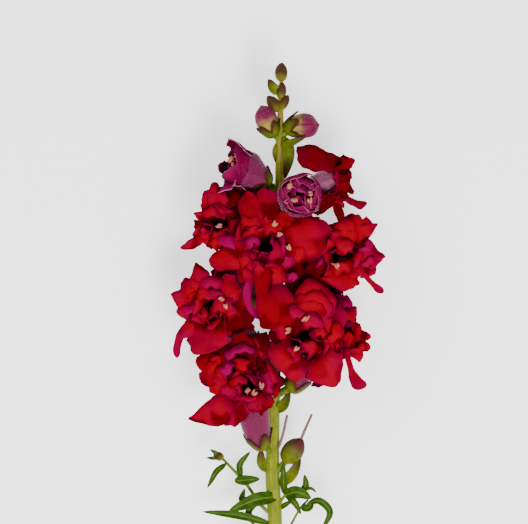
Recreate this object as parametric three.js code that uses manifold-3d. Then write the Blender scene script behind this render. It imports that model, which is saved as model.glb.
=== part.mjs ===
// A cut stem of a double-flowered snapdragon, lying on its side.
//
// Millimetres, +Z up. The plant lies on the surface Z = 0 with its stem along Y and its tip
// towards +Y. The origin is on that surface, under the middle of the plant's outline. The stem
// rests on its cut end and on petals of the flowers underneath it.
// Each flower is one closed sheet: a tube that grows from a green calyx, broad lobes round its
// mouth with notches between them, and a ruffle of inner petals in its throat. The flowers press
// against each other: every pair of neighbours has a wall between them, and petals that would
// cross a wall bend along it.
import * as THREE from "three";
import { mergeVertices } from "three/addons/utils/BufferGeometryUtils.js";
import Module from "manifold-3d";

const wasm = await Module();
wasm.setup();

// ---------------------------------------------------------------- driving dimensions
const PETAL = 0.7; // thickness of a petal
const LEAF = 0.8; // thickness of a leaf or bract
const LEAF_FOLD = 0.3; // rise of a leaf's edges over its midrib, for each unit of width
const GAP = 0.3; // clear space between two separate pieces where one is cut back
const GAP_LEAST = 0.12; // pieces that are closer than this are cut back
const OVERLAP_LEAST = 0.001; // in cubic millimetres, of a piece with what stands round it
const UP = new THREE.Vector3(0, 1, 0); // towards the tip of the stem
const SKY = new THREE.Vector3(0, 0, 1);

// How petals bend clear of what they meet.
const WALL_SOFT = 2.5; // a petal starts to bend this far before the wall between two flowers
const WALL_KEEP = 0.6; // middle of a petal to the wall, at least
const OVERHANG = 0.45; // how far the wall leans, so that an upper flower hangs over a lower one
const FRONT = 33; // flowers whose middle is higher than this face up and show their lips
const STEM_CLEAR = 1.3; // middle of a petal to the skin of the stem, at least
const STEM_SOFT = 1; // a petal starts to bend this far before that
const SNAP = 0.25; // what is lower than this lies flat on the surface

// The lobes of a flower.
const PETAL_REACH = 15; // usual length of a lobe
const ROWS = [0, 0.38, 0.72, 1]; // rows of points from the mouth's rim to the edge
const EVEN_ROWS = [0, 0.5, 0.82, 1]; // the same on a flower underneath
const NOTCH = [0.5, 0.68]; // share of a lobe's length at the notch between two lobes
const NARROW = 4.5; // a lobe up to this half width has no shoulders
const SHOULDER_MOST = 0.36; // angle to a shoulder as a share of that to the next lobe
const SHOULDER_DROOP = 0.06; // how far the shoulders hang back, for each unit of half width
const NOTCH_LIFT = 0.5; // how far the sheet rises at a notch

// The throat.
const DISH = 3.5; // depth of the dish in a flower's mouth
const RUFFLE = {
  groove: 0.62, // radius of the groove round its foot, as a share of the mouth's
  foot: 0.42, // radius of its foot
  wide: 0.66, // radius of its edge
  flare: 0.22, // how much that radius waves
  high: 3.6, // height of its edge over the mouth
  wave: 2, // how much that height waves
};
const CURL_WIDTH = 0.16; // how broad a curled inner petal is

// The calyx and the stalk under a flower.
const CALYX_WALL = 0.9;
const CALYX_DEEP = 6; // height of the calyx on the tube
const CALYX_SIDES = 10;
const CALYX_EASE = 0.1; // clearance inside the calyx besides the usual gap
const SEPAL_WAVE = 1.7; // how far the five sepals rise above the notches between them
const PEDICEL = 1.4; // radius of a flower's stalk
const TUBE_FOOT = 3.2; // radius of a flower's tube in its calyx
const TUBE_SEAT = 0.5; // distance from the bottom of the calyx to the tube

// Green parts.
const STEM_SIDES = 9;
const STEM_STEPS = 20;
const ROD_SIDES = 5;
const ROD_STEPS = 3;
const EGG_SIDES = 7;

// Centre line of the stem, from the cut end to the tip, and its radius along Y.
const STEM_LINE = [
  [-1.6, -150, 3.3],
  [-1.4, -108, 8.6],
  [-1.3, -62, 17],
  [-2.4, -42, 21],
  [-2.3, -26, 24],
  [-1.6, 0, 27],
  [-0.6, 27, 30],
  [0.9, 91, 33],
  [0.9, 112, 34],
  [1.2, 126, 34.6],
  [1.5, 143, 35.4],
];
const STEM_RADII = [
  [-150, 3.5],
  [-60, 3.4],
  [-44, 2.95],
  [-26, 2.9],
  [27, 2.6],
  [91, 2.4],
  [112, 2],
  [122, 1.1],
  [144, 0.7],
];

// ---------------------------------------------------------------- small helpers
const radians = (degrees) => (degrees * Math.PI) / 180;
const vec = (a) => new THREE.Vector3(...a);
const mix = (a, b, t) => a + (b - a) * t;
const clamp = (x, low, high) => Math.min(high, Math.max(low, x));
const smooth = (t) => {
  const c = clamp(t, 0, 1);
  return c * c * (3 - 2 * c);
};

// A seeded stream of numbers from 0 to 1.
function stream(seed) {
  let state = seed >>> 0;
  return () => {
    state = (Math.imul(state, 1664525) + 1013904223) >>> 0;
    return state / 4294967296;
  };
}

// Value at x of a line through [x, value] pairs.
function along(pairs, x) {
  let i = 1;
  while (i < pairs.length - 1 && pairs[i][0] < x) i += 1;
  const [x0, y0] = pairs[i - 1];
  const [x1, y1] = pairs[i];
  return mix(y0, y1, clamp((x - x0) / (x1 - x0), 0, 1));
}

// The closed solid of a geometry.
function solid(geometry) {
  geometry.deleteAttribute("normal");
  geometry.deleteAttribute("uv");
  const merged = mergeVertices(geometry, 1e-4);
  const corners = merged.index.array;
  const kept = [];
  for (let i = 0; i < corners.length; i += 3) {
    const [a, b, c] = corners.slice(i, i + 3);
    if (a !== b && b !== c && c !== a) kept.push(a, b, c);
  }
  const build = (triVerts) =>
    new wasm.Manifold(
      new wasm.Mesh({
        numProp: 3,
        vertProperties: merged.attributes.position.array,
        triVerts: new Uint32Array(triVerts),
      }),
    );
  const made = build(kept);
  if (made.volume() > 0) return made;
  for (let i = 0; i < kept.length; i += 3) [kept[i + 1], kept[i + 2]] = [kept[i + 2], kept[i + 1]];
  return build(kept);
}

const joined = (solids) => solids.reduce((whole, piece) => whole.add(piece));

// The largest body of a solid, without the scraps that a cut leaves.
const largest = (whole) =>
  whole.decompose().reduce((best, body) => (body.volume() > best.volume() ? body : best));

function meshOf(whole, name, finish) {
  const { numProp, vertProperties, triVerts } = whole.getMesh();
  const count = vertProperties.length / numProp;
  const position = new Float32Array(count * 3);
  for (let i = 0; i < count; i += 1) {
    position.set(vertProperties.subarray(i * numProp, i * numProp + 3), i * 3);
  }
  const geometry = new THREE.BufferGeometry();
  geometry.setAttribute("position", new THREE.BufferAttribute(position, 3));
  geometry.setIndex(new THREE.BufferAttribute(new Uint32Array(triVerts), 1));
  geometry.computeVertexNormals();
  const mesh = new THREE.Mesh(geometry, new THREE.MeshStandardMaterial(finish));
  mesh.name = name;
  return mesh;
}

// ---------------------------------------------------------------- round forms
// Point and frame at a distance along a curve, running on straight past its ends.
function onPath(curve, distance, side) {
  const length = curve.getLength();
  const share = clamp(distance / length, 0, 1);
  const tangent = curve.getTangentAt(share);
  const point = curve.getPointAt(share).addScaledVector(tangent, distance - share * length);
  const normal = side.clone().addScaledVector(tangent, -side.dot(tangent)).normalize();
  const across = tangent.clone().cross(normal);
  return { point, normal, across };
}

// A profile of [distance, radius] pairs, from axis to axis, turned round a curve.
// shape(distance, radius, angle) may move each ring's points to a new [distance, radius].
function turned(profile, curve, sides, side = SKY, shape = (s, r) => [s, r]) {
  const points = profile.map(([s, r]) => new THREE.Vector2(r, s));
  const geometry = new THREE.LatheGeometry(points, sides);
  const position = geometry.attributes.position;
  for (let i = 0; i < position.count; i += 1) {
    const x = position.getX(i);
    const z = position.getZ(i);
    const angle = Math.atan2(x, z);
    const [distance, radius] = shape(position.getY(i), Math.hypot(x, z), angle);
    const { point, normal, across } = onPath(curve, distance, side);
    point.addScaledVector(normal, radius * Math.cos(angle));
    point.addScaledVector(across, radius * Math.sin(angle));
    position.setXYZ(i, point.x, point.y, point.z);
  }
  return solid(geometry);
}

const stemCurve = new THREE.CatmullRomCurve3(STEM_LINE.map(vec), false, "centripetal");
const STEM_SAMPLES = stemCurve.getSpacedPoints(240);

// Point on the stem's centre line at a height y.
function stemAt(y) {
  let i = 1;
  while (i < STEM_SAMPLES.length - 1 && STEM_SAMPLES[i].y < y) i += 1;
  const below = STEM_SAMPLES[i - 1];
  const above = STEM_SAMPLES[i];
  return below.clone().lerp(above, clamp((y - below.y) / (above.y - below.y), 0, 1));
}

function curveOf(points) {
  return new THREE.CatmullRomCurve3(points.map(vec), false, "centripetal");
}

// A round rod along points, with its radius at the start and at the end.
function rod(points, from, to) {
  const curve = curveOf(points);
  const length = curve.getLength();
  const profile = [[0, 0]];
  for (let i = 0; i <= ROD_STEPS; i += 1) {
    const share = i / ROD_STEPS;
    profile.push([length * share, mix(from, to, share)]);
  }
  profile.push([length, 0]);
  return turned(profile, curve, ROD_SIDES);
}

// An egg-shaped bud: its foot, direction, length and radius.
function egg(foot, direction, length, radius, grow) {
  const base = vec(foot);
  const end = base.clone().addScaledVector(vec(direction).normalize(), length);
  const curve = new THREE.LineCurve3(base, end);
  const r = radius + grow;
  const profile = [
    [-grow, 0],
    [0.02 * length - grow, 0.45 * r],
    [0.25 * length, 0.9 * r],
    [0.5 * length, r],
    [0.75 * length, 0.8 * r],
    [0.93 * length, 0.42 * r],
    [length + grow, 0],
  ];
  return turned(profile, curve, EGG_SIDES);
}

// ---------------------------------------------------------------- blades: petals and leaves
// A closed sheet of even thickness round surface(u, v), u from 0 to 1 and v from -1 to 1. Both
// faces are split into triangles along the same diagonals. grow makes it larger all round.
function blade(surface, nu, nv, thickness, size, grow) {
  const growU = grow / size.length;
  const growV = grow / size.half;
  const grid = [];
  for (let i = 0; i <= nu; i += 1) {
    const row = [];
    for (let j = 0; j <= nv; j += 1) {
      row.push(surface(mix(-growU, 1 + growU, i / nu), mix(-1 - growV, 1 + growV, j / nv)));
    }
    grid.push(row);
  }
  const normal = (i, j) => {
    const du = grid[Math.min(i + 1, nu)][j].clone().sub(grid[Math.max(i - 1, 0)][j]);
    const dv = grid[i][Math.min(j + 1, nv)].clone().sub(grid[i][Math.max(j - 1, 0)]);
    return du.cross(dv).normalize();
  };
  const positions = [];
  const reach = thickness / 2 + grow;
  for (const face of [1, -1]) {
    grid.forEach((row, i) =>
      row.forEach((point, j) => {
        const p = point.clone().addScaledVector(normal(i, j), face * reach);
        positions.push(p.x, p.y, p.z);
      }),
    );
  }
  const layer = (nu + 1) * (nv + 1);
  const id = (i, j, face) => face * layer + i * (nv + 1) + j;
  const index = [];
  const quad = (a, b, c, d) => index.push(a, b, c, a, c, d);
  for (let i = 0; i < nu; i += 1) {
    for (let j = 0; j < nv; j += 1) {
      quad(id(i, j, 0), id(i + 1, j, 0), id(i + 1, j + 1, 0), id(i, j + 1, 0));
      const [a, b, c, d] = [id(i, j, 1), id(i + 1, j, 1), id(i + 1, j + 1, 1), id(i, j + 1, 1)];
      index.push(a, c, b, a, d, c);
    }
  }
  for (let i = 0; i < nu; i += 1) {
    quad(id(i + 1, 0, 0), id(i, 0, 0), id(i, 0, 1), id(i + 1, 0, 1));
    quad(id(i, nv, 0), id(i + 1, nv, 0), id(i + 1, nv, 1), id(i, nv, 1));
  }
  for (let j = 0; j < nv; j += 1) {
    quad(id(0, j, 0), id(0, j + 1, 0), id(0, j + 1, 1), id(0, j, 1));
    quad(id(nu, j + 1, 0), id(nu, j, 0), id(nu, j, 1), id(nu, j + 1, 1));
  }
  const geometry = new THREE.BufferGeometry();
  geometry.setAttribute("position", new THREE.Float32BufferAttribute(positions, 3));
  geometry.setIndex(index);
  return solid(geometry);
}

// A lance-shaped leaf along points, folded along its midrib and facing the sky.
function leaf(points, half, steps, grow) {
  const curve = curveOf(points);
  const length = curve.getLength();
  const surface = (u, v) => {
    const { point, normal, across } = onPath(curve, u * length, SKY);
    const width = half * (0.14 + 0.86 * Math.sin(Math.PI * clamp(u, 0, 1) ** 0.75) ** 0.8);
    point.addScaledVector(across, width * v);
    return point.addScaledVector(normal, LEAF_FOLD * width * Math.abs(v));
  };
  return blade(surface, steps, 2, LEAF, { length, half }, grow);
}

// ---------------------------------------------------------------- the flowers
// seat: foot of the tube in its calyx. drop: how far below it the stalk leaves the stem.
// mouth: centre of the mouth, of the given radius. face: the way it looks. belly: radius of the
// tube, where it is wider than the mouth. heart and spread: middle and size of the space that
// the flower fills. curls: tips of the curled inner petals. lobes: [x, y, z of the tip, half
// width, details]. straps: narrow petals that hang out, [x, y, z of the tip, half width, width
// of the tip as a share of that]. even: the number of equal lobes of a flower that lies
// underneath, how far they reach, their half width and the direction of the first, in degrees.
const LOBE = {
  lean: 35, // of the root from the face's axis, in degrees
  end: 105, // of the tip from the face's axis
  tip: 0.75, // width at the tip as a share of the widest
  frill: 0.9, // height of the waves along the edge
};
const STRAP = {
  base: 1.4, // half width of the root
  inset: 1.6, // distance of the root from the rim
  sink: 1.9, // how far the root is sunk in the dish
  end: 80, // lean of the tip from the face's axis, in degrees
  twist: 0.5, // how much its edges turn
};
const FLOWERS = [
  {
    name: "flower_lower_left",
    seat: [-6.6, -26.5, 30],
    drop: 5,
    mouth: [-13, 3, 44],
    face: [-0.12, 0.2, 0.97],
    heart: [-19, 1, 47],
    spread: 22,
    radius: 7.8,
    curls: [[-17, 17, 52], [-23, 6, 50], [-6, -1, 48]],
    seed: 11,
    lobes: [
      [-41.5, -13.5, 38, 8, { tip: 0.3, lean: 50 }],
      [-23.5, -15.5, 40, 7, {}],
      [-5.5, -11, 41, 7.5, { tip: 0.85, lean: 50 }],
      [-36, 3, 43, 7, { notch: 0.86 }],
      [-38, 15, 44, 7, { notch: 0.82 }],
      [-22, 25, 42, 9, {}],
      [-3, 19, 46, 9, { end: 70 }],
    ],
  },
  {
    name: "flower_lower_right",
    seat: [6.2, 0.5, 36],
    drop: 5.5,
    mouth: [13.5, 22, 50],
    face: [0.08, -0.05, 1],
    heart: [12.5, 24, 52],
    spread: 24,
    radius: 7.6,
    curls: [[19, 36, 56], [13, 13, 55], [5, 30, 55]],
    seed: 23,
    lobes: [
      [-4, 2, 43, 11, { tip: 0.85, lean: 40 }],
      [23.5, 0, 47, 10, { tip: 0.85, lean: 40 }],
      [-6, 48, 51, 12, {}],
      [14.5, 54, 45, 11, { tip: 0.85 }],
      [30, 40, 48, 8, {}],
      [31.5, 21, 44, 8, { frill: 1.2 }],
    ],
  },
  {
    name: "flower_left",
    seat: [-8, 17, 33],
    drop: 5,
    mouth: [-30.5, 36, 42],
    face: [-0.42, 0, 0.9],
    heart: [-33, 35, 41],
    spread: 20,
    radius: 7,
    curls: [[-36, 28, 47], [-24, 42, 47]],
    seed: 37,
    lobes: [
      [-37.5, 57.5, 38, 6, { tip: 0.3, frill: 1.2 }],
      [-48.5, 44.5, 38, 8, { tip: 0.9, frill: 1.8, notch: 0.75 }],
      [-47, 33, 38, 4, {}],
      [-32, 13, 42, 10, { tip: 0.85, notch: 0.85 }],
      [-44.5, 23, 40, 6, { tip: 0.85 }],
      [-13, 46, 44, 10, { end: 90 }],
      [-14, 29, 40, 8, {}],
      [-27, 52, 43, 6, {}],
    ],
    straps: [[-47.5, 14, 36, 1.7, 1]],
  },
  {
    name: "flower_middle",
    seat: [-2.6, 44, 37.5],
    drop: 5.5,
    mouth: [-5.5, 65, 54],
    face: [-0.05, 0.05, 1],
    heart: [-2, 67, 53],
    spread: 20,
    radius: 7.4,
    curls: [[-13, 54, 58], [-14, 70, 58], [3, 72, 57]],
    seed: 41,
    lobes: [
      [-14, 92, 45, 10, { tip: 0.8 }],
      [3, 89, 50, 9, {}],
      [26.5, 72, 45, 12, { tip: 0.8 }],
      [-32, 57, 43, 10, { tip: 0.85 }],
      [-27, 77, 49, 7, {}],
      [-10, 38, 50, 6, {}],
      [9.5, 48, 46, 8, { frill: 1.4 }],
    ],
  },
  {
    name: "flower_right",
    seat: [7.2, 44, 36],
    drop: 5,
    mouth: [29.5, 62, 42],
    face: [0.42, 0, 0.9],
    heart: [38, 61, 41],
    spread: 19,
    radius: 7,
    curls: [[26, 55, 49], [37, 67, 47]],
    seed: 53,
    lobes: [
      [34.5, 81, 40, 6, { tip: 0.6 }],
      [47, 75.5, 37, 5, { tip: 0.2 }],
      [49.5, 60, 36, 9, { tip: 0.85, frill: 1.6 }],
      [28, 43, 42, 10, { tip: 0.85 }],
      [13, 53, 42, 8, {}],
      [17, 73, 43, 7, {}],
    ],
    straps: [[47.8, 44.5, 36, 1.4, 2.2], [25, 86, 34, 1.7, 1]],
  },
  {
    name: "flower_upper_left",
    seat: [-7, 57, 36],
    drop: 5,
    mouth: [-28.5, 76, 42],
    face: [-0.42, 0.06, 0.9],
    heart: [-32, 79, 42],
    spread: 17,
    radius: 6.6,
    curls: [[-21, 67, 47], [-33, 80, 47]],
    seed: 67,
    lobes: [
      [-29.5, 95, 40, 7, { tip: 0.4, frill: 1.2 }],
      [-39, 81.5, 38, 7, { frill: 1.3, notch: 0.86 }],
      [-40, 70.7, 38, 4, { notch: 0.72 }],
      [-45.5, 64.3, 36, 4.4, { notch: 0.74 }],
      [-17, 89, 42, 8, {}],
      [-15, 66, 46, 8, { end: 80 }],
    ],
  },
  {
    name: "flower_upper_right",
    seat: [7.8, 84, 31],
    drop: 5,
    mouth: [26, 96, 36],
    face: [0.85, 0.1, 0.45],
    heart: [25, 97, 37],
    spread: 13,
    radius: 6.4,
    seed: 71,
    lobes: [
      [9.5, 108, 47, 8, { tip: 0.8, lean: 45, end: 175 }],
      [25, 112, 38, 5, {}],
      [36, 104.5, 33, 6, { lean: 20, end: 60 }],
      [32.5, 86, 34, 7, { end: 110 }],
      [22, 85, 40, 6, { end: 150 }],
    ],
    straps: [[40, 83.5, 32, 2.2, 1.7]],
  },
  {
    name: "flower_far_right",
    seat: [7.6, 5, 29],
    drop: 5,
    mouth: [29, 27, 37],
    face: [0.6, -0.05, 0.8],
    heart: [33.5, 24, 36],
    spread: 17,
    radius: 6.6,
    seed: 83,
    lobes: [
      [30, 45, 35, 7, { frill: 1.3 }],
      [37.5, 37.5, 34, 6, { frill: 1.3 }],
      [39, 29, 33, 5, {}],
      [43, 21, 34, 6, { tip: 0.9, frill: 1.8 }],
      [34, 13.5, 38, 9, { tip: 0.9 }],
    ],
    straps: [[38.5, 0.2, 35, 1.6, 2.4]],
  },
  // Flowers on the side that the plant lies on.
  {
    name: "flower_under_1",
    seat: [-7.5, -6, 22],
    drop: 4,
    mouth: [-22, 12, 11],
    face: [-0.75, 0.2, -0.5],
    heart: [-25, 11, 12],
    spread: 17,
    radius: 6,
    seed: 97,
    even: { count: 5, reach: 17, half: 9.5, first: -90 },
  },
  {
    name: "flower_under_2",
    seat: [5.5, -3, 23],
    drop: 4,
    mouth: [21, 13, 10.5],
    face: [0.75, 0.1, -0.5],
    heart: [24, 12, 12],
    spread: 17,
    radius: 6,
    seed: 101,
    even: { count: 5, reach: 17, half: 9.5, first: 90 },
  },
  {
    name: "flower_under_3",
    seat: [-8, 36, 25],
    drop: 4,
    mouth: [-22, 53, 11],
    face: [-0.75, 0.2, -0.5],
    heart: [-25, 54, 13],
    spread: 17,
    radius: 6,
    seed: 103,
    even: { count: 5, reach: 17, half: 9.5, first: -90 },
  },
  {
    name: "flower_under_4",
    seat: [7, 26, 24.5],
    drop: 4,
    mouth: [22, 42, 10.5],
    face: [0.75, 0.2, -0.5],
    heart: [25, 43, 13],
    spread: 17,
    radius: 6,
    seed: 107,
    even: { count: 5, reach: 17, half: 9.5, first: 90 },
  },
  {
    name: "flower_under_5",
    seat: [2, 63, 25.5],
    drop: 4,
    mouth: [4, 81, 13],
    face: [0.1, 0.35, -0.85],
    heart: [4, 82, 13],
    spread: 17,
    radius: 6,
    seed: 109,
    even: { count: 5, reach: 17, half: 9.5, first: 0 },
  },
  // Buds that are just opening.
  {
    name: "opening_bud_left",
    seat: [-4.6, 95.5, 36.5],
    drop: 4,
    mouth: [-19.5, 103.5, 40],
    face: [-0.9, 0.2, 0.38],
    heart: [-19, 103, 41],
    spread: 8.5,
    radius: 8.6,
    belly: 9.6,
    seed: 113,
    lobes: [
      [-24.5, 112.5, 40, 6.5, { lean: 10, end: -5, frill: 0.5 }],
      [-24.5, 107, 46, 5.5, { lean: 10, end: -5, frill: 0.5 }],
      [-27.5, 100.5, 41, 5, { lean: 5, end: 5 }],
      [-27, 92, 40, 6, { lean: 20, end: 60 }],
      [-22, 104, 31, 6, { lean: 10, end: 20 }],
    ],
  },
  {
    name: "opening_bud_front",
    seat: [4.6, 82.5, 38.5],
    drop: 4,
    mouth: [10.3, 88.6, 53],
    face: [0.03, 0.05, 1],
    heart: [10.3, 88.6, 52],
    spread: 15,
    radius: 9,
    belly: 9.8,
    seed: 127,
    lobes: [
      [10.3, 95, 56, 5.5, { lean: -5, end: -60, frill: 0.3 }],
      [16.5, 90.5, 56, 5.5, { lean: -5, end: -60, frill: 0.3 }],
      [14.5, 83.5, 56, 5.5, { lean: -5, end: -60, frill: 0.3 }],
      [6.5, 83.5, 56, 5.5, { lean: -5, end: -60, frill: 0.3 }],
      [4, 90.5, 56, 5.5, { lean: -5, end: -60, frill: 0.3 }],
    ],
  },
];

// Closed buds near the tip of the stem. mouth is the bud's end.
const BUDS = [
  { name: "closed_bud_right", seat: [4.5, 118.3, 35.6], drop: 3, mouth: [18.8, 121.3, 37], belly: 5.6 },
  { name: "closed_bud_left", seat: [-2, 116.5, 35.4], drop: 3, mouth: [-7.6, 129, 36.6], belly: 4.9 },
];
for (const bud of BUDS) bud.face = vec(bud.mouth).sub(vec(bud.seat)).toArray();

// The frame of a flower's face: out of the mouth, up towards the stem's tip, and to the right.
function faceOf(flower) {
  const out = vec(flower.face).normalize();
  const up = UP.clone().addScaledVector(out, -UP.dot(out)).normalize();
  return { out, up, right: up.clone().cross(out) };
}

// A flower's lobes, either as listed or spread round its face with a little variation.
function lobesOf(flower) {
  if (flower.lobes) return flower.lobes;
  const { out, up, right } = faceOf(flower);
  const { count, reach, half, first } = flower.even;
  const draw = stream(flower.seed);
  return Array.from({ length: count }, (_, i) => {
    const turn = radians(first) + (2 * Math.PI * (i + 0.3 * draw())) / count;
    const far = reach * mix(0.9, 1.15, draw());
    const tip = vec(flower.mouth).addScaledVector(out, mix(-2.5, 3, draw()));
    tip.addScaledVector(up, far * Math.cos(turn)).addScaledVector(right, far * Math.sin(turn));
    return [...tip.toArray(), half * mix(0.85, 1.1, draw()), { tip: mix(0.6, 0.9, draw()) }];
  });
}

// The walls between a flower and its neighbours, each as its direction away from the flower and
// its distance from the origin.
function wallsOf(me) {
  return FLOWERS.filter((other) => other !== me).map((other) => {
    const from = vec(me.heart);
    const to = vec(other.heart);
    const apart = from.distanceTo(to);
    const share = (apart ** 2 + me.spread ** 2 - other.spread ** 2) / (2 * apart ** 2);
    const middle = from.clone().lerp(to, share);
    const direction = to.clone().sub(from);
    const lips = from.z > FRONT && to.z > FRONT && !me.belly && !other.belly;
    if (lips) direction.z += OVERHANG * direction.y;
    direction.normalize();
    return { direction, limit: direction.dot(middle) - WALL_KEEP };
  });
}

// How far a distance may go towards a limit: all the way to `soft` before it, then ever less.
function ease(distance, limit, soft) {
  const start = limit - soft;
  return distance <= start ? distance : limit - soft * Math.exp(-(distance - start) / soft);
}

// Bends a point of a petal's middle surface clear of the walls, the stem and the ground.
function bendClear(point, walls) {
  for (const { direction, limit } of walls) {
    const distance = direction.dot(point);
    point.addScaledVector(direction, ease(distance, limit, WALL_SOFT) - distance);
  }
  if (point.y < STEM_SAMPLES.at(-1).y) {
    const axis = stemAt(point.y);
    const away = new THREE.Vector3(point.x - axis.x, 0, point.z - axis.z);
    const distance = Math.max(away.length(), 0.1);
    const least = along(STEM_RADII, point.y) + STEM_CLEAR;
    const wanted = -ease(-distance, -least, STEM_SOFT);
    point.addScaledVector(away, (wanted - distance) / distance);
  }
  point.z = Math.max(point.z, PETAL / 2);
  return point;
}

// A narrow petal that springs from the mouth and hangs out past the lobes.
function strap(flower, [x, y, z, half, end], grow) {
  const { out } = faceOf(flower);
  const mouth = vec(flower.mouth);
  const tip = new THREE.Vector3(x, y, z);
  const radial = tip.clone().sub(mouth);
  radial.addScaledVector(out, -radial.dot(out)).normalize();
  const sideways = out.clone().cross(radial);
  const root = mouth.clone().addScaledVector(radial, flower.radius - STRAP.inset);
  root.addScaledVector(out, -STRAP.sink);
  const chord = root.distanceTo(tip);
  const heading = (degrees) =>
    new THREE.Vector3()
      .addScaledVector(out, Math.cos(radians(degrees)))
      .addScaledVector(radial, Math.sin(radians(degrees)));
  const leave = root.clone().addScaledVector(heading(LOBE.lean), 0.45 * chord);
  const arrive = tip.clone().addScaledVector(heading(STRAP.end), -0.35 * chord);
  const line = new THREE.CubicBezierCurve3(root, leave, arrive, tip);
  const surface = (u, v) => {
    const at = clamp(u, -0.05, 1.05);
    const normal = line.getTangent(clamp(at, 0, 1)).cross(sideways);
    const width = mix(STRAP.base, half, smooth(u / 0.55)) * mix(1, end, smooth((u - 0.55) / 0.45));
    const twist = STRAP.twist * v * Math.sin(Math.PI * clamp(u, 0, 1));
    return line
      .getPoint(at)
      .addScaledVector(normal, twist * width)
      .addScaledVector(sideways, width * v);
  };
  return blade(surface, 3, 2, PETAL, { length: chord, half }, grow);
}

function tubeCurve(flower) {
  const seat = vec(flower.seat);
  const mouth = vec(flower.mouth);
  const reach = 0.4 * seat.distanceTo(mouth);
  const first = seat.clone().addScaledVector(riseOf(flower), reach);
  const second = mouth.clone().addScaledVector(vec(flower.face).normalize(), -reach);
  return new THREE.CubicBezierCurve3(seat, first, second, mouth);
}

// The way a flower's stalk runs, from the middle of the stem to the seat.
const riseOf = (flower) => vec(flower.seat).sub(stemAt(flower.seat[1] - flower.drop)).normalize();

// Distance along a flower's tube and its radius there.
function tubeStations(flower, length) {
  const belly = flower.belly ?? flower.radius - 0.4;
  if (!flower.radius) {
    return [
      [0, 0.9 * TUBE_FOOT],
      [CALYX_DEEP + SEPAL_WAVE, belly],
      [0.82 * length, 0.78 * belly],
      [length, 0.3],
    ];
  }
  return [
    [0, TUBE_FOOT],
    [CALYX_DEEP + SEPAL_WAVE, 0.8 * belly],
    [0.6 * length, belly],
    [length, flower.radius],
  ];
}

// A closed surface through rings of equally many points, from one pole to the other.
function ringed(rings, firstPole, lastPole) {
  const count = rings[0].length;
  const points = [firstPole, ...rings.flat(), lastPole];
  const index = [];
  const id = (ring, i) => 1 + ring * count + (i % count);
  for (let i = 0; i < count; i += 1) {
    index.push(0, id(0, i + 1), id(0, i));
    index.push(points.length - 1, id(rings.length - 1, i), id(rings.length - 1, i + 1));
    for (let ring = 0; ring < rings.length - 1; ring += 1) {
      const [p, q, r, t] = [id(ring, i), id(ring, i + 1), id(ring + 1, i + 1), id(ring + 1, i)];
      // The two faces of a sheet run opposite ways, so each keeps the other's diagonals.
      if (rings[ring + 1].inward) index.push(p, q, t, q, r, t);
      else index.push(p, q, r, p, r, t);
    }
  }
  const geometry = new THREE.BufferGeometry();
  for (const point of points) if (point.z < SNAP) point.z = 0;
  const flat = points.flatMap((point) => point.toArray());
  geometry.setAttribute("position", new THREE.Float32BufferAttribute(flat, 3));
  geometry.setIndex(index);
  return solid(geometry);
}

// The two faces of a sheet round its middle rows, as rings: out along its back, then in along
// its front.
function sheetRings(rows, thickness) {
  const count = rows[0].length;
  const faces = [1, -1].map((side) =>
    rows.map((row, j) =>
      row.map((point, i) => {
        const outward = rows[Math.min(j + 1, rows.length - 1)][i]
          .clone()
          .sub(rows[Math.max(j - 1, 0)][i]);
        const round = row[(i + 1) % count].clone().sub(row[(i + count - 1) % count]);
        const normal = outward.cross(round).normalize();
        return point.clone().addScaledVector(normal, (side * thickness) / 2);
      }),
    ),
  );
  const front = faces[1].reverse();
  front.forEach((ring) => (ring.inward = true));
  return [...faces[0], ...front];
}

// The lobes round the rim as control points [distance from the axis, height] of their middle
// lines, in the order of their angles.
function rimLobes(flower) {
  const { out, up, right } = faceOf(flower);
  const mouth = vec(flower.mouth);
  const rim = flower.radius - PETAL / 2;
  return lobesOf(flower)
    .map(([x, y, z, half, details]) => {
      const shape = { ...LOBE, ...details };
      const tip = new THREE.Vector3(x, y, z).sub(mouth);
      const angle = Math.atan2(tip.dot(right), tip.dot(up));
      const reach = Math.hypot(tip.dot(right), tip.dot(up));
      const height = tip.dot(out);
      const chord = Math.hypot(reach - rim, height);
      const [lean, end] = [radians(shape.lean), radians(shape.end)];
      const line = [
        [rim, 0],
        [rim + 0.45 * chord * Math.sin(lean), 0.45 * chord * Math.cos(lean)],
        [reach - 0.35 * chord * Math.sin(end), height - 0.35 * chord * Math.cos(end)],
        [reach, height],
      ];
      const broad = Math.atan2(half * mix(0.45, 0.8, shape.tip), 0.9 * reach);
      return { angle, line, broad, shape, half };
    })
    .sort((a, b) => a.angle - b.angle);
}

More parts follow.
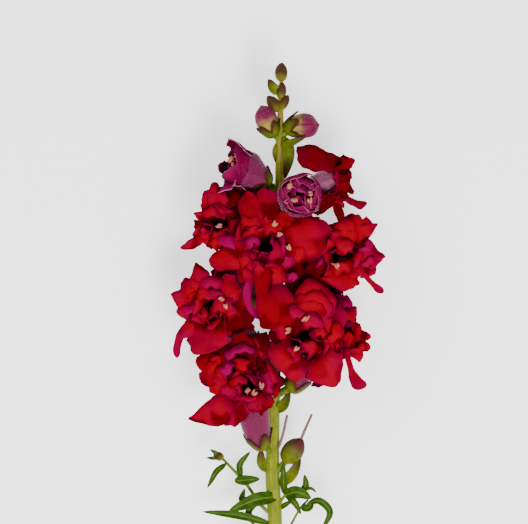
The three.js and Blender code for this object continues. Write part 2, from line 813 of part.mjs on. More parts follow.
// The stations round the rim where the sheet of a corolla has its lines: on each lobe's middle
// and shoulders and in the notch after it. share: how far the line runs to the lobe's tip.
function rimStations(flower) {
  const lobes = rimLobes(flower);
  const draw = stream(flower.seed + 3);
  return lobes.flatMap((lobe, k) => {
    const next = lobes[(k + 1) % lobes.length];
    const before = lobes[(k + lobes.length - 1) % lobes.length];
    const turn = 2 * Math.PI;
    const toNext = (next.angle - lobe.angle + turn) % turn || turn;
    const toBefore = (lobe.angle - before.angle + turn) % turn || turn;
    const left = Math.min(lobe.broad, SHOULDER_MOST * toBefore);
    const right = Math.min(lobe.broad, SHOULDER_MOST * toNext);
    const nextLeft = Math.min(next.broad, SHOULDER_MOST * toNext);
    const shoulder = mix(0.74, 0.96, lobe.shape.tip);
    const between = lobe.line.map(([r, h], i) => {
      const [nextR, nextH] = next.line[i];
      return [mix(r, nextR, 0.5), mix(h, nextH, 0.5)];
    });
    const notch = lobe.shape.notch ?? mix(NOTCH[0], NOTCH[1], draw());
    const middle = lobe.angle + (right + toNext - nextLeft) / 2;
    const wave = lobe.shape.frill * (draw() < 0.5 ? -1 : 1);
    const droop = SHOULDER_DROOP * lobe.half;
    const ridge = { angle: lobe.angle, line: lobe.line, share: 1, lift: 0 };
    const valley = { angle: middle, line: between, share: notch, lift: NOTCH_LIFT };
    if (lobe.half <= NARROW) return [ridge, valley];
    return [
      { angle: lobe.angle - left, line: lobe.line, share: shoulder, lift: -wave - droop },
      ...(flower.even ? [] : [ridge]),
      { angle: lobe.angle + right, line: lobe.line, share: shoulder, lift: wave - droop },
      valley,
    ];
  });
}

const cubic = (a, b, c, d, t) =>
  (1 - t) ** 3 * a + 3 * (1 - t) ** 2 * t * b + 3 * (1 - t) * t * t * c + t ** 3 * d;

// A flower's tube, its lobes and the ruffle in its mouth, in one closed surface.
function corolla(flower, grow) {
  const walls = wallsOf(flower);
  const curve = tubeCurve(flower);
  const length = curve.getLength();
  const { out, up, right } = faceOf(flower);
  const mouth = vec(flower.mouth);
  const draw = stream(flower.seed + 4);
  const stations = rimStations(flower);
  const place = (angle, radius, height) =>
    mouth
      .clone()
      .addScaledVector(up, radius * Math.cos(angle))
      .addScaledVector(right, radius * Math.sin(angle))
      .addScaledVector(out, height);
  const tubeRings = tubeStations(flower, length).slice(0, 3).map(([distance, bare]) =>
    stations.map(({ angle }) => {
      const frame = onPath(curve, distance || TUBE_SEAT - grow, right);
      const radius = bare + grow;
      return frame.point
        .addScaledVector(frame.normal, radius * Math.sin(angle))
        .addScaledVector(frame.across, radius * Math.cos(angle));
    }),
  );
  const rows = (flower.even ? EVEN_ROWS : ROWS).map((u) =>
    stations.map(({ angle, line, share, lift }) => {
      const t = u && u * share + grow / PETAL_REACH;
      const [r, h] = [0, 1].map((axis) => cubic(...line.map((p) => p[axis]), t));
      const point = place(angle, r, h + lift * u * u);
      return u ? bendClear(point, walls) : point;
    }),
  );
  const skirt = sheetRings(rows, PETAL + 2 * grow);
  const footPole = onPath(curve, TUBE_SEAT - grow, right).point;
  const lid = mouth.clone().addScaledVector(out, grow || -DISH);
  if (grow) return ringed([...tubeRings, ...skirt], footPole, lid);
  const groove = stations.map(({ angle }) => place(angle, RUFFLE.groove * flower.radius, -DISH));
  const phase = 6.3 * draw();
  const curls = (flower.curls ?? []).map((tip) => {
    const from = vec(tip).sub(mouth);
    const [x, y] = [from.dot(right), from.dot(up)];
    return { turn: Math.atan2(x, y), reach: Math.hypot(x, y), height: from.dot(out) };
  });
  const ruffle = [0, 1].map((u) =>
    stations.map(({ angle }) => {
      let high = RUFFLE.high + RUFFLE.wave * Math.sin(5 * angle + phase);
      const flare = RUFFLE.flare * Math.sin(4 * angle + 2 * phase);
      let wide = (RUFFLE.wide + flare) * flower.radius;
      for (const { turn, reach, height } of curls) {
        const near = Math.exp(-(((1 - Math.cos(angle - turn)) / CURL_WIDTH) ** 2));
        high = mix(high, height, near);
        wide = mix(wide, reach, near);
      }
      const foot = RUFFLE.foot * flower.radius;
      const point = place(angle, mix(foot, wide, u), mix(-DISH, high, u));
      return u ? bendClear(point, walls) : point;
    }),
  );
  return ringed([...tubeRings, ...skirt, groove, ...sheetRings(ruffle, PETAL)], footPole, lid);
}

// Anthers that stand in the mouth.
const ANTHER = { count: 2, apart: 2.4, sides: 4, stalk: 0.5, head: 1.1, high: [1, 3] };

function anthers(flower, grow) {
  const draw = stream(flower.seed + 1);
  const { out, up, right } = faceOf(flower);
  return Array.from({ length: ANTHER.count }, (_, i) => {
    const turn = 3 * i + draw();
    const ring = flower.radius * mix(0.08, 0.16, draw());
    const axis = vec(flower.mouth).addScaledVector(right, ANTHER.apart * (i - 0.5));
    const root = axis.clone().addScaledVector(out, -DISH - 1);
    const tip = axis.addScaledVector(out, mix(...ANTHER.high, draw()));
    tip.addScaledVector(up, ring * Math.cos(turn)).addScaledVector(right, ring * Math.sin(turn));
    const curve = new THREE.LineCurve3(root, tip);
    const length = curve.getLength();
    const profile = [
      [0, 0],
      [0, ANTHER.stalk + grow],
      [length - 1, ANTHER.head + grow],
      [length + grow, 0],
    ];
    return turned(profile, curve, ANTHER.sides, right);
  });
}

// A whole flower. grow gives the larger copy that its neighbours are kept clear of.
function flowerSolid(flower, grow = 0) {
  const pieces = [corolla(flower, grow)];
  for (const petal of flower.straps ?? []) pieces.push(strap(flower, petal, grow));
  if (!flower.even) pieces.push(...anthers(flower, grow));
  return joined(pieces);
}

function budSolid(bud, grow = 0) {
  const curve = tubeCurve(bud);
  const profile = tubeStations(bud, curve.getLength()).map(([s, r]) => [s, r + grow]);
  profile[0][0] = TUBE_SEAT - grow;
  profile.unshift([TUBE_SEAT - grow, 0]);
  profile.push([curve.getLength() + grow, 0]);
  return turned(profile, curve, CALYX_SIDES, faceOf(bud).right);
}

// ---------------------------------------------------------------- the green parts
// A flower's stalk and its calyx round the foot of the tube, with five sepals.
function calyx(flower, grow) {
  const curve = tubeCurve(flower);
  const length = curve.getLength();
  const { right } = faceOf(flower);
  const stalk = vec(flower.seat).distanceTo(stemAt(flower.seat[1] - flower.drop));
  const flat = Math.cos(Math.PI / CALYX_SIDES);
  const stations = tubeStations(flower, length);
  const skin = (s) => (along(stations, s) + GAP + CALYX_EASE) / flat;
  const profile = [
    [-stalk, 0],
    [-stalk, PEDICEL + grow],
    [-1.5 - grow, PEDICEL + 0.3 + grow],
    [TUBE_SEAT, skin(TUBE_SEAT) + CALYX_WALL + grow],
    [CALYX_DEEP + grow, skin(CALYX_DEEP) + 0.7 * CALYX_WALL + grow],
    [CALYX_DEEP + grow, skin(CALYX_DEEP) - grow],
    [TUBE_SEAT - GAP + grow, skin(TUBE_SEAT) - grow],
    [TUBE_SEAT - GAP + grow, 0],
  ];
  const sepals = (s, r, angle) => {
    if (s < CALYX_DEEP) return [s, r];
    const height = s + SEPAL_WAVE * Math.cos(5 * angle);
    return [height, r + skin(height) - skin(s)];
  };
  return turned(profile, curve, CALYX_SIDES, right, sepals);
}

// Leaves and bracts: points of the midrib from root to tip, half width, and the number of
// steps along them.
const LEAVES = [
  // The broad leaf across the stem and the leaves of the left side shoot.
  [[[0, -51, 21], [-10, -52.2, 26], [-22.5, -57.5, 24]], 3.2, 3],
  [[[-3, -60.5, 17], [-18, -57.3, 21], [-34.5, -58.3, 19]], 1.4, 3],
  [[[-9, -53.5, 18], [-13.5, -58, 18], [-11, -65, 14]], 1.6, 3],
  [[[-10.5, -52, 19], [-16.5, -52.5, 21], [-15.4, -47.2, 23]], 1.6, 3],
  [[[-17.5, -41.5, 21], [-14, -41.2, 23], [-8.8, -42.4, 24]], 2, 3],
  [[[-17.5, -41.5, 21], [-18, -35.5, 25], [-13, -30.3, 26]], 1.4, 3],
  [[[-24.5, -34.5, 22], [-30, -38.5, 25], [-32.6, -45.5, 23]], 1, 3],
  [[[-26.5, -32.5, 22.5], [-29, -30.5, 24], [-31.3, -29, 24]], 1, 2],
  [[[-26.5, -32.5, 22.5], [-29, -33, 23], [-33, -33, 22]], 0.9, 2],
  // Bracts on the stem.
  [[[-3, -39, 22], [-8, -35.5, 25], [-8.3, -28.3, 27]], 2.1, 3],
  [[[0, -44, 21], [5.5, -39, 25], [10.2, -32.3, 27]], 2.2, 3],
  [[[-0.5, -12, 26], [4, -9.5, 30], [6.3, -3.6, 33]], 2.2, 3],
  [[[1, 97, 34], [5.2, 104, 36.5], [6, 113, 38]], 2.2, 3],
  [[[0, 102, 34], [-1.8, 106, 36], [-1.7, 112.5, 36]], 1.1, 3],
  [[[1, 110, 34], [6, 112.8, 40], [13, 115.6, 42]], 1.8, 3],
  [[[0.8, 135.5, 35], [-2.8, 137, 36.5], [-4.4, 142, 37]], 1.9, 3],
  // The leaves of the right side shoots.
  [[[3.4, -50, 20], [3.3, -43, 25], [2.8, -35.4, 27]], 1.3, 3],
  [[[3.4, -50, 20], [9, -47.6, 25], [15, -51, 23]], 2.7, 3],
  [[[3.4, -50, 20], [8, -54, 22], [10.7, -59.2, 20]], 1.5, 3],
  [[[1, -57, 17], [4, -54.5, 20], [7.5, -53, 20]], 1.2, 2],
  [[[11.4, -48, 22], [13, -45.5, 24], [12.4, -40.6, 25]], 1.5, 3],
  [[[11.4, -48, 22], [15.2, -47, 24], [17.9, -48.9, 23]], 0.8, 2],
  [[[13.5, -53, 19], [19, -50.7, 23], [25.2, -55.5, 21], [21.5, -65.5, 14]], 1.4, 4],
  [[[11, -56, 17], [14.5, -56, 20], [16.4, -52.5, 21]], 1.3, 3],
  // The lower leaves.
  [[[-1.5, -80, 13], [-14, -74, 17], [-31, -79, 8]], 3.4, 3],
  [[[-1.5, -92, 11], [12, -85, 15], [29, -90, 5]], 3.6, 3],
  [[[-1.5, -112, 8], [-11, -101, 11], [-24, -96, 4]], 3.2, 3],
  [[[-1.5, -126, 6], [9, -115, 9], [21, -108, 3]], 3, 3],
];

// Thin side shoots and styles: points, radius at the root and at the tip.
const RODS = [
  [[[-1.5, -61, 17], [-8, -55, 18.5], [-14.5, -45.5, 20], [-25.5, -33.5, 22]], 0.8, 0.5],
  [[[-1.3, -60, 17], [3.4, -50.5, 20], [8, -48.5, 21.5], [12, -47.8, 22]], 0.9, 0.5],
  [[[-1.3, -78, 14], [6, -65, 13.5], [11, -56, 17], [14, -52.8, 19]], 0.8, 0.5],
  [[[-2.3, -42, 21], [1, -37.5, 24], [4, -34, 25.5]], 1.4, 1.6],
  [[[10, -26, 27], [12.3, -20, 29], [15.7, -12.8, 29]], 0.6, 0.45],
  [[[-1, -31, 24], [1.8, -23, 29], [4.2, -13.2, 30]], 0.6, 0.45],
];

// Small green buds, the seed case of a faded flower and the tip of the stem: foot, direction,
// length and radius.
const EGGS = [
  [[2.5, -35, 25], [0.66, 0.75, 0.2], 13, 5.2],
  [[-25.3, -33.4, 22], [-0.85, 0.5, 0.1], 5, 1.9],
  [[0.8, 128, 34.6], [-0.72, 0.66, 0.2], 8, 2.6],
  [[1.4, 129, 34.8], [0.5, 0.84, 0.2], 7, 2.2],
  [[1.3, 133.5, 35], [0.16, 1, 0.1], 7.5, 1.9],
  [[1.5, 141.3, 35.3], [0.05, 1, 0], 8.7, 2.5],
];

function leafyStem(grow = 0) {
  const length = stemCurve.getLength();
  const profile = [[-grow, 0]];
  for (let i = 0; i <= STEM_STEPS; i += 1) {
    const share = i / STEM_STEPS;
    const radius = along(STEM_RADII, stemCurve.getPointAt(share).y) + grow;
    profile.push([mix(-grow, length + grow, share), radius]);
  }
  profile.push([length + grow, 0]);
  const pieces = [turned(profile, stemCurve, STEM_SIDES)];
  for (const flower of [...FLOWERS, ...BUDS]) pieces.push(calyx(flower, grow));
  for (const [points, half, nu] of LEAVES) pieces.push(leaf(points, half, nu, grow));
  for (const [points, from, to] of RODS) pieces.push(rod(points, from + grow, to + grow));
  for (const [foot, direction, long, radius] of EGGS) {
    pieces.push(egg(foot, direction, long, radius, grow));
  }
  return joined(pieces);
}

// ---------------------------------------------------------------- assembly
const STEM_GREEN = { color: 0x7f9a3a, roughness: 0.55, metalness: 0 };
const PETAL_RED = { color: 0xb0061c, roughness: 0.6, metalness: 0 };
const BUD_MAUVE = { color: 0x8e2a5c, roughness: 0.6, metalness: 0 };

const plant = new THREE.Group();
plant.add(meshOf(largest(leafyStem()), "leafy_stem", STEM_GREEN));

// Each flower is cut back where it still meets a piece that is already there.
const standing = [[leafyStem(GAP), leafyStem(GAP_LEAST)]];
for (const flower of [...FLOWERS, ...BUDS]) {
  const shape = flower.radius ? flowerSolid : budSolid;
  let whole = shape(flower);
  for (const [wide, narrow] of standing) {
    if (whole.intersect(narrow).volume() > OVERLAP_LEAST) whole = whole.subtract(wide);
  }
  const open = flower.radius && !flower.belly;
  plant.add(meshOf(largest(whole), flower.name, open ? PETAL_RED : BUD_MAUVE));
  standing.push([shape(flower, GAP), shape(flower, GAP_LEAST)]);
}

export default plant;
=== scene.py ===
"""A cut stem of a double-flowered snapdragon, dressed round its frame.

The plant lies on a pale floor with its stem along Y. All sizes are in millimetres until a piece
is finished, when its mesh is scaled to metres. Each flower is a tube that grows from a green
calyx, with broad lobes round its mouth, two rings of crumpled inner petals and anthers in its
throat. Every pair of neighbouring flowers has a wall between them, and petals that would cross
a wall bend along it.
"""

import logging
import math
from dataclasses import dataclass, field
from enum import Enum
from functools import partial
from typing import Callable, Iterable, Sequence

import bmesh
import bpy
import numpy as np
from mathutils import Matrix, Vector


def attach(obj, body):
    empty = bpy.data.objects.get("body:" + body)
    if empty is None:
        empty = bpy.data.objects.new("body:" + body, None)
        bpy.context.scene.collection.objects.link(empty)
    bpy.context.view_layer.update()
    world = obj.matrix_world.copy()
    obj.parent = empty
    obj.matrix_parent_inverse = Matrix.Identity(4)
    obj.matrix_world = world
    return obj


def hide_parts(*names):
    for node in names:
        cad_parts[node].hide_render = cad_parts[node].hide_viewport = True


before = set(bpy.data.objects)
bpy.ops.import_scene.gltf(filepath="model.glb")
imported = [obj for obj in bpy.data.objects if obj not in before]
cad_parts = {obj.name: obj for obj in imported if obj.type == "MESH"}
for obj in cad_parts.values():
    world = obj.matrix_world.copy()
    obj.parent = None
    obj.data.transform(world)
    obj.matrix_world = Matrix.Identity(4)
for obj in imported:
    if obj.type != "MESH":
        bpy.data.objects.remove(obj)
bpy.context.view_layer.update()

LOG = logging.getLogger("snapdragon")

Array = np.ndarray
Point = tuple[float, float, float]
Colour = tuple[float, float, float]
Surface = Callable[[Array, Array], Array]
Shape = Callable[[Array, Array, Array], Array]

MM = 0.001
TURN = 2.0 * math.pi
UP = np.array((0.0, 1.0, 0.0))  # towards the tip of the stem
SKY = np.array((0.0, 0.0, 1.0))
SIDE = SKY + 0.01 * UP  # where the frames of rods lean to: no rod runs along it

PETAL_THICK = 0.34
SEPAL_THICK = 0.6
LEAF_THICK = 0.4
TUBE_THICK = 0.4
WALL_SOFT = 2.5  # a petal starts to bend this far before the wall between two flowers
WALL_KEEP = 0.35  # middle of a petal to the wall, at least
OVERHANG = 0.45  # how far a wall leans, so that an upper flower hangs over a lower one
FRONT = 33.0  # flowers whose heart is higher than this face up
STEM_CLEAR = 0.9  # middle of a petal to the skin of the stem, at least
STEM_SOFT = 1.0  # a petal starts to bend this far before that
CALYX_DEEP = 6.0  # height of the calyx on a tube
SEPAL_WAVE = 1.7  # how much that height varies round it
FOLD_SIZES = (18.0, 11.0, 7.0)  # lengths of the waves that crumple a petal
FOLD_HEIGHT = 0.034  # their height as a share of their length
TUBE_FOOT = 3.2  # radius of a tube at its seat
TUBE_SEAT = 0.5  # from the bottom of the calyx to the tube
THROAT = 0.4  # share of a petal that lies in the throat
SHOULDER = 0.55  # share of a petal's length at its widest place
CORNER = 2.8  # how late a petal's edge turns in towards its tip
STEM_FOOT = -150.0
STEM_TIP = 143.0

# What is added to a flower's seed for each of its streams.
PETAL_SEED = 7
STAMEN_SEED = 9
RUFFLE_SEED = 20
BACK_SEED = 40

STEM_LINE: list[Point] = [
    (-1.6, -150, 3.3),
    (-1.4, -108, 8.6),
    (-1.3, -62, 17),
    (-2.4, -42, 21),
    (-2.3, -26, 24),
    (-1.6, 0, 27),
    (-0.6, 27, 30),
    (0.9, 91, 33),
    (0.9, 112, 34),
    (1.2, 126, 34.6),
    (1.5, 143, 35.4),
]
STEM_RADII = [
    (-150, 3.5),
    (-60, 3.4),
    (-44, 3.5),
    (-26, 3.1),
    (27, 2.6),
    (91, 2.4),
    (112, 2.1),
    (120, 1.6),
    (132, 1.3),
    (144, 0.8),
]


class Slot(Enum):
    """The record's material slots."""

    GREEN = "stem_green"
    RED = "petal_red"
    MAUVE = "bud_mauve"


# ---------------------------------------------------------------- numbers
def mix(a: float, b: float, t: float) -> float:
    """Returns the value at share t between a and b."""
    return a + (b - a) * t


def smooth(t: Array) -> Array:
    """Returns a smooth step from 0 to 1."""
    c = np.clip(t, 0.0, 1.0)
    return c * c * (3.0 - 2.0 * c)


def unit(a: Array) -> Array:
    """Returns vectors at length 1."""
    return a / np.maximum(np.linalg.norm(a, axis=-1, keepdims=True), 1e-9)


class Stream:
    """A seeded stream of numbers from 0 to 1."""

    def __init__(self, seed: int) -> None:
        """Starts the stream at a seed."""
        self.state = seed

    def __call__(self) -> float:
        """Returns the next number."""
        self.state = (self.state * 1664525 + 1013904223) % 4294967296
        return self.state / 4294967296

    def between(self, low: float, high: float) -> float:
        """Returns the next number, scaled to a range."""
        return mix(low, high, self())


class Path:
    """A curve through space as closely spaced points."""

    def __init__(self, points: Array) -> None:
        """Takes the curve's points.

        Args:
            points: The points, in order.
        """
        self.points = points
        steps = np.linalg.norm(np.diff(points, axis=0), axis=1)
        self.lengths = np.concatenate(([0.0], np.cumsum(steps)))
        self.length = float(self.lengths[-1])
        self.tangents = unit(np.gradient(points, axis=0))

    @classmethod
    def through(cls, knots: Sequence[Point], samples: int = 24) -> "Path":
        """Makes a smooth curve through points.

        Args:
            knots: The points, in order.
            samples: Number of points from each knot to the next.

        Returns:
            The path.
        """
        k = np.array(knots, float)
        k = np.vstack((2 * k[0] - k[1], k, 2 * k[-1] - k[-2]))
        t = np.linspace(0.0, 1.0, samples, endpoint=False)[:, None]
        parts = []
        for p0, p1, p2, p3 in zip(k, k[1:], k[2:], k[3:]):
            pairs = ((p0, p1), (p1, p2), (p2, p3))
            d0, d1, d2 = (max(np.linalg.norm(b - a) ** 0.5, 1e-6) for a, b in pairs)
            m1 = d1 * ((p1 - p0) / d0 - (p2 - p0) / (d0 + d1) + (p2 - p1) / d1)
            m2 = d1 * ((p2 - p1) / d1 - (p3 - p1) / (d1 + d2) + (p3 - p2) / d2)
            parts.append(
                p1 + m1 * t + (3 * (p2 - p1) - 2 * m1 - m2) * t**2 + (2 * (p1 - p2) + m1 + m2) * t**3
            )
        return cls(np.vstack((*parts, k[-2])))

    @classmethod
    def straight(cls, foot: Array, top: Array) -> "Path":
        """Returns a straight line between two points."""
        return cls(foot + np.linspace(0.0, 1.0, 9)[:, None] * (top - foot))

    @classmethod
    def bezier(cls, a: Array, b: Array, c: Array, d: Array) -> "Path":
        """Makes a cubic curve.

        Args:
            a: Its first point.
            b: The point that it leaves towards.
            c: The point that it arrives from.
            d: Its last point.

        Returns:
            The path.
        """
        t = np.linspace(0.0, 1.0, 65)[:, None]
        s = 1.0 - t
        return cls(s**3 * a + 3 * s**2 * t * b + 3 * s * t**2 * c + t**3 * d)

    def at(self, distance: Array, side: Array) -> tuple[Array, Array, Array]:
        """Finds points and frames along the path, running on straight past its ends.

        Args:
            distance: Distances from the start.
            side: The direction that the frames' first axis leans to.

        Returns:
            The points, the frames' first axes and their second axes.
        """
        inside = np.clip(distance, 0.0, self.length)
        point = np.stack([np.interp(inside, self.lengths, self.points[:, k]) for k in range(3)], -1)
        tangent = unit(
            np.stack([np.interp(inside, self.lengths, self.tangents[:, k]) for k in range(3)], -1)
        )
        point = point + tangent * (distance - inside)[:, None]
        normal = unit(side - tangent * (tangent @ side)[:, None])
        return point, normal, np.cross(tangent, normal)

    def round(self, distance: Array, radius: Array, angle: Array, side: Array = SIDE) -> Array:
        """Finds points round the path.

        Args:
            distance: Distances from the start.
            radius: Distances from the path.
            angle: Angles from the side.
            side: The direction that angles are counted from.

        Returns:
            The points.
        """
        point, normal, across = self.at(distance, side)
        wide = radius[:, None]
        return point + normal * wide * np.cos(angle)[:, None] + across * wide * np.sin(angle)[:, None]


STEM = Path.through(STEM_LINE)


def stem_at(y: Array | float) -> Array:
    """Finds the middle of the stem.

    Args:
        y: Places along the plant.

    Returns:
        The middle there, as x, y, z.
    """
    level = np.asarray(y, float)
    x, z = (np.interp(level, STEM.points[:, 1], STEM.points[:, k]) for k in (0, 2))
    return np.stack((x, level, z), -1)


def stem_radius(y: Array | float) -> Array:
    """Returns the stem's radius at heights y."""
    return np.interp(y, *zip(*STEM_RADII))


# ---------------------------------------------------------------- shaders
def operator(operation: str, flip: bool = False) -> Callable[["Value", "Value | float"], "Value"]:
    """Makes an operator of two numbers.

    Args:
        operation: The Math node's operation.
        flip: Whether the second number comes first.

    Returns:
        The operator, as a method of Value.
    """

    def method(self: "Value", other: "Value | float") -> "Value":
        """Returns the result."""
        return self.math(operation, other, flip)

    return method


class Value:
    """A number that varies over a surface: a socket in a material's node tree."""

    def __init__(self, shader: "Shader", socket: bpy.types.NodeSocket) -> None:
        """Wraps a socket of a shader."""
        self.shader = shader
        self.socket = socket

    def math(self, operation: str, other: "Value | float | None" = None, flip: bool = False) -> "Value":
        """Adds a Math node.

        Args:
            operation: The node's operation.
            other: The second number, where the operation has one.
            flip: Whether the second number comes first.

        Returns:
            The result.
        """
        terms = [self] if other is None else [self, other]
        if flip:
            terms.reverse()
        node = self.shader.node("ShaderNodeMath", {"operation": operation}, dict(enumerate(terms)))
        return Value(self.shader, node.outputs[0])

    __add__ = __radd__ = operator("ADD")
    __mul__ = __rmul__ = operator("MULTIPLY")
    __sub__ = operator("SUBTRACT")
    __rsub__ = operator("SUBTRACT", flip=True)
    __pow__ = operator("POWER")
    larger = operator("MAXIMUM")

    def __abs__(self) -> "Value":
        """Returns the size without its sign."""
        return self.math("ABSOLUTE")

    def sine(self) -> "Value":
        """Returns the sine."""
        return self.math("SINE")

    def ramp(self, low: float, high: float) -> "Value":
        """Adds a smooth step.

        Args:
            low: Where it is 0.
            high: Where it is 1.

        Returns:
            The result.
        """
        node = self.shader.node(
            "ShaderNodeMapRange",
            {"interpolation_type": "SMOOTHSTEP", "clamp": True},
            {"Value": self, "From Min": low, "From Max": high},
        )
        return Value(self.shader, node.outputs["Result"])


class Shader:
    """A material's node tree, with a Principled surface."""

    def __init__(self, name: str, **constants: object) -> None:
        """Makes the material.

        Args:
            name: The material's name.
            constants: Values of the surface's sockets, with _ for a space.
        """
        self.material = bpy.data.materials.new(name)
        self.material.use_nodes = True
        self.tree = self.material.node_tree
        self.surface = self.tree.nodes["Principled BSDF"]
        for key, value in constants.items():
            self.surface.inputs[key.replace("_", " ").title().replace("Ior", "IOR")].default_value = value

    def node(self, kind: str, settings: dict[str, object], values: dict[object, object]) -> bpy.types.Node:
        """Adds a node.

        Args:
            kind: The node's type.
            settings: Its properties, such as a Math node's operation.
            values: Numbers, colours, sockets or Values for its inputs.

        Returns:
            The node.
        """
        node = self.tree.nodes.new(kind)
        for key, value in settings.items():
            setattr(node, key, value)
        for key, value in values.items():
            self.feed(node.inputs[key], value)
        return node

    def feed(self, target: bpy.types.NodeSocket, value: object) -> None:
        """Links or sets an input.

        Args:
            target: The input.
            value: A socket or Value to link, or a number or colour to set.
        """
        if isinstance(value, Value):
            value = value.socket
        if isinstance(value, bpy.types.NodeSocket):
            self.tree.links.new(value, target)
        elif isinstance(value, tuple) and len(value) == 3 and target.type == "RGBA":
            target.default_value = (*value, 1.0)
        else:
            target.default_value = value

    def attribute(self, name: str) -> Value:
        """Returns one of the mesh's own numbers."""
        node = self.node("ShaderNodeAttribute", {"attribute_name": name}, {})
        return Value(self, node.outputs["Fac"])

    def place(self) -> bpy.types.NodeSocket:
        """Returns the place on the object, in metres."""
        return self.node("ShaderNodeTexCoord", {}, {}).outputs["Object"]

    def axis(self, name: str) -> Value:
        """Returns the place along one axis, in millimetres."""
        node = self.node("ShaderNodeSeparateXYZ", {}, {0: self.place()})
        return Value(self, node.outputs[name]) * 1000.0

    def noise(self, size: float, detail: float = 2.0) -> Value:
        """Adds soft noise.

        Args:
            size: Size of its lumps, in millimetres.
            detail: Number of finer layers.

        Returns:
            The noise, from 0 to 1.
        """
        values = {"Vector": self.place(), "Scale": 1000.0 / size, "Detail": detail, "Roughness": 0.5}
        node = self.node("ShaderNodeTexNoise", {}, values)
        return Value(self, node.outputs[0])

    def blend(self, share: object, first: object, second: object) -> bpy.types.NodeSocket:
        """Returns a mix of two colours."""
        node = self.node("ShaderNodeMix", {"data_type": "RGBA"}, {0: share, 6: first, 7: second})
        return node.outputs[2]

    def bump(self, height: Value, depth: float) -> None:
        """Gives the surface relief: height from 0 to 1, over a depth in millimetres."""
        node = self.node("ShaderNodeBump", {}, {"Height": height, "Distance": depth * MM, "Strength": 1.0})
        self.feed(self.surface.inputs["Normal"], node.outputs[0])

    def paint(self, colour: object) -> bpy.types.Material:
        """Sets the surface's colour and returns the material."""
        self.feed(self.surface.inputs["Base Color"], colour)
        return self.material


@dataclass(frozen=True)
class PetalFinish:
    """Velvet of a petal's face or back, with painted shade in the throat and folds, and tinted along its
    edge.
    """

    name: str
    colour: Colour
    # deep: the colour of painted shade in the throat and folds, and also of the veins.
    deep: Colour
    edge: Colour
    flush: Colour
    sheen: float = 0.1
    roughness: float = 0.6
    grain: float = 0.3
    veins: float = 17.0

    def material(self) -> bpy.types.Material:
        """Makes the finish.

        Returns:
            The material.
        """
        shader = Shader(
            self.name,
            roughness=self.roughness,
            sheen_weight=self.sheen,
            sheen_roughness=0.35,
            sheen_tint=(*self.edge, 1.0),
            specular_ior_level=0.0,
        )
        along, across = shader.attribute("along"), shader.attribute("across")
        tint = shader.attribute("tint")
        blotch = shader.noise(7.0, 3.0)
        veins = (across * self.veins + shader.noise(2.2) * 7.0).sine() * 0.5 + 0.5
        # Painted shade: the deep colour in the throat, fading out along the petal.
        out_of_throat = (along + blotch * 0.4 - 0.1).ramp(0.05, 0.5)
        colour = shader.blend(out_of_throat, self.deep, self.colour)
        rim = (abs(across) ** 3.0).larger(along ** 3.0) * 0.5 + shader.noise(14.0) * 1.5 - 0.55
        colour = shader.blend(rim.ramp(0.1, 0.8) * 0.85, colour, self.edge)
        flushed = (tint + blotch * 0.5 - 0.25).ramp(0.3, 0.9) * 0.9
        colour = shader.blend(flushed, colour, self.flush)
        colour = shader.blend(veins * 0.08, colour, self.deep)
        # Painted shade: the deep colour in folds and the throat, and over petals whose tint is below 0.
        shade = (shader.attribute("shade") + blotch * 0.3 - 0.15).larger(0.0 - tint)
        colour = shader.blend(shade.ramp(0.0, 1.0) * 0.9, colour, self.deep)
        shader.bump(shader.noise(0.5, 3.0) * self.grain + veins * 0.1, 0.25)
        return shader.paint(colour)


@dataclass(frozen=True)
class FuzzFinish:
    """Downy skin of a tube or bud, from its pale foot to its darker end, with painted shade by a tint above
    0 and painted light below 0.
    """

    name: str
    foot: Colour
    middle: Colour
    end: Colour
    stripe: Colour
    sheen: float = 0.5
    change: float = 0.0
    # deep is the colour of painted shade and pale the colour of painted light, mixed in by the tint.
    deep: Colour = (0.03, 0.0, 0.008)
    pale: Colour = (0.3, 0.09, 0.16)
    fleck: Colour = (0.22, 0.03, 0.11)
    stripes: float = 31.4

    def material(self) -> bpy.types.Material:
        """Makes the finish.

        Returns:
            The material.
        """
        shader = Shader(
            self.name,
            roughness=0.6,
            sheen_weight=self.sheen,
            sheen_roughness=0.45,
            sheen_tint=(1.0, 0.6, 0.8, 1.0),
            specular_ior_level=0.1,
        )
        along, across = shader.attribute("along"), shader.attribute("across")
        blotch = shader.noise(2.5, 3.0)
        grade = along + blotch * 0.25 - 0.12 - self.change
        colour = shader.blend(grade.ramp(0.05, 0.35), self.foot, self.middle)
        colour = shader.blend(grade.ramp(0.3, 0.7), colour, self.end)
        stripes = (across * self.stripes + blotch * 4.0).sine() * 0.5 + 0.5
        colour = shader.blend(stripes ** 3.0 * 0.4, colour, self.stripe)
        flecks = shader.noise(0.7, 2.0).ramp(0.55, 0.8) * 0.3
        colour = shader.blend(flecks, colour, self.fleck)
        # Painted shade on a tube deep in the head where the tint is above 0; painted light on a tube lying
        # in shade where it is below 0.
        tint = shader.attribute("tint")
        colour = shader.blend(tint, colour, self.deep)
        colour = shader.blend(0.0 - tint, colour, self.pale)
        shader.bump(shader.noise(0.5, 3.0) * 0.6 + stripes * 0.4, 0.3)
        return shader.paint(colour)


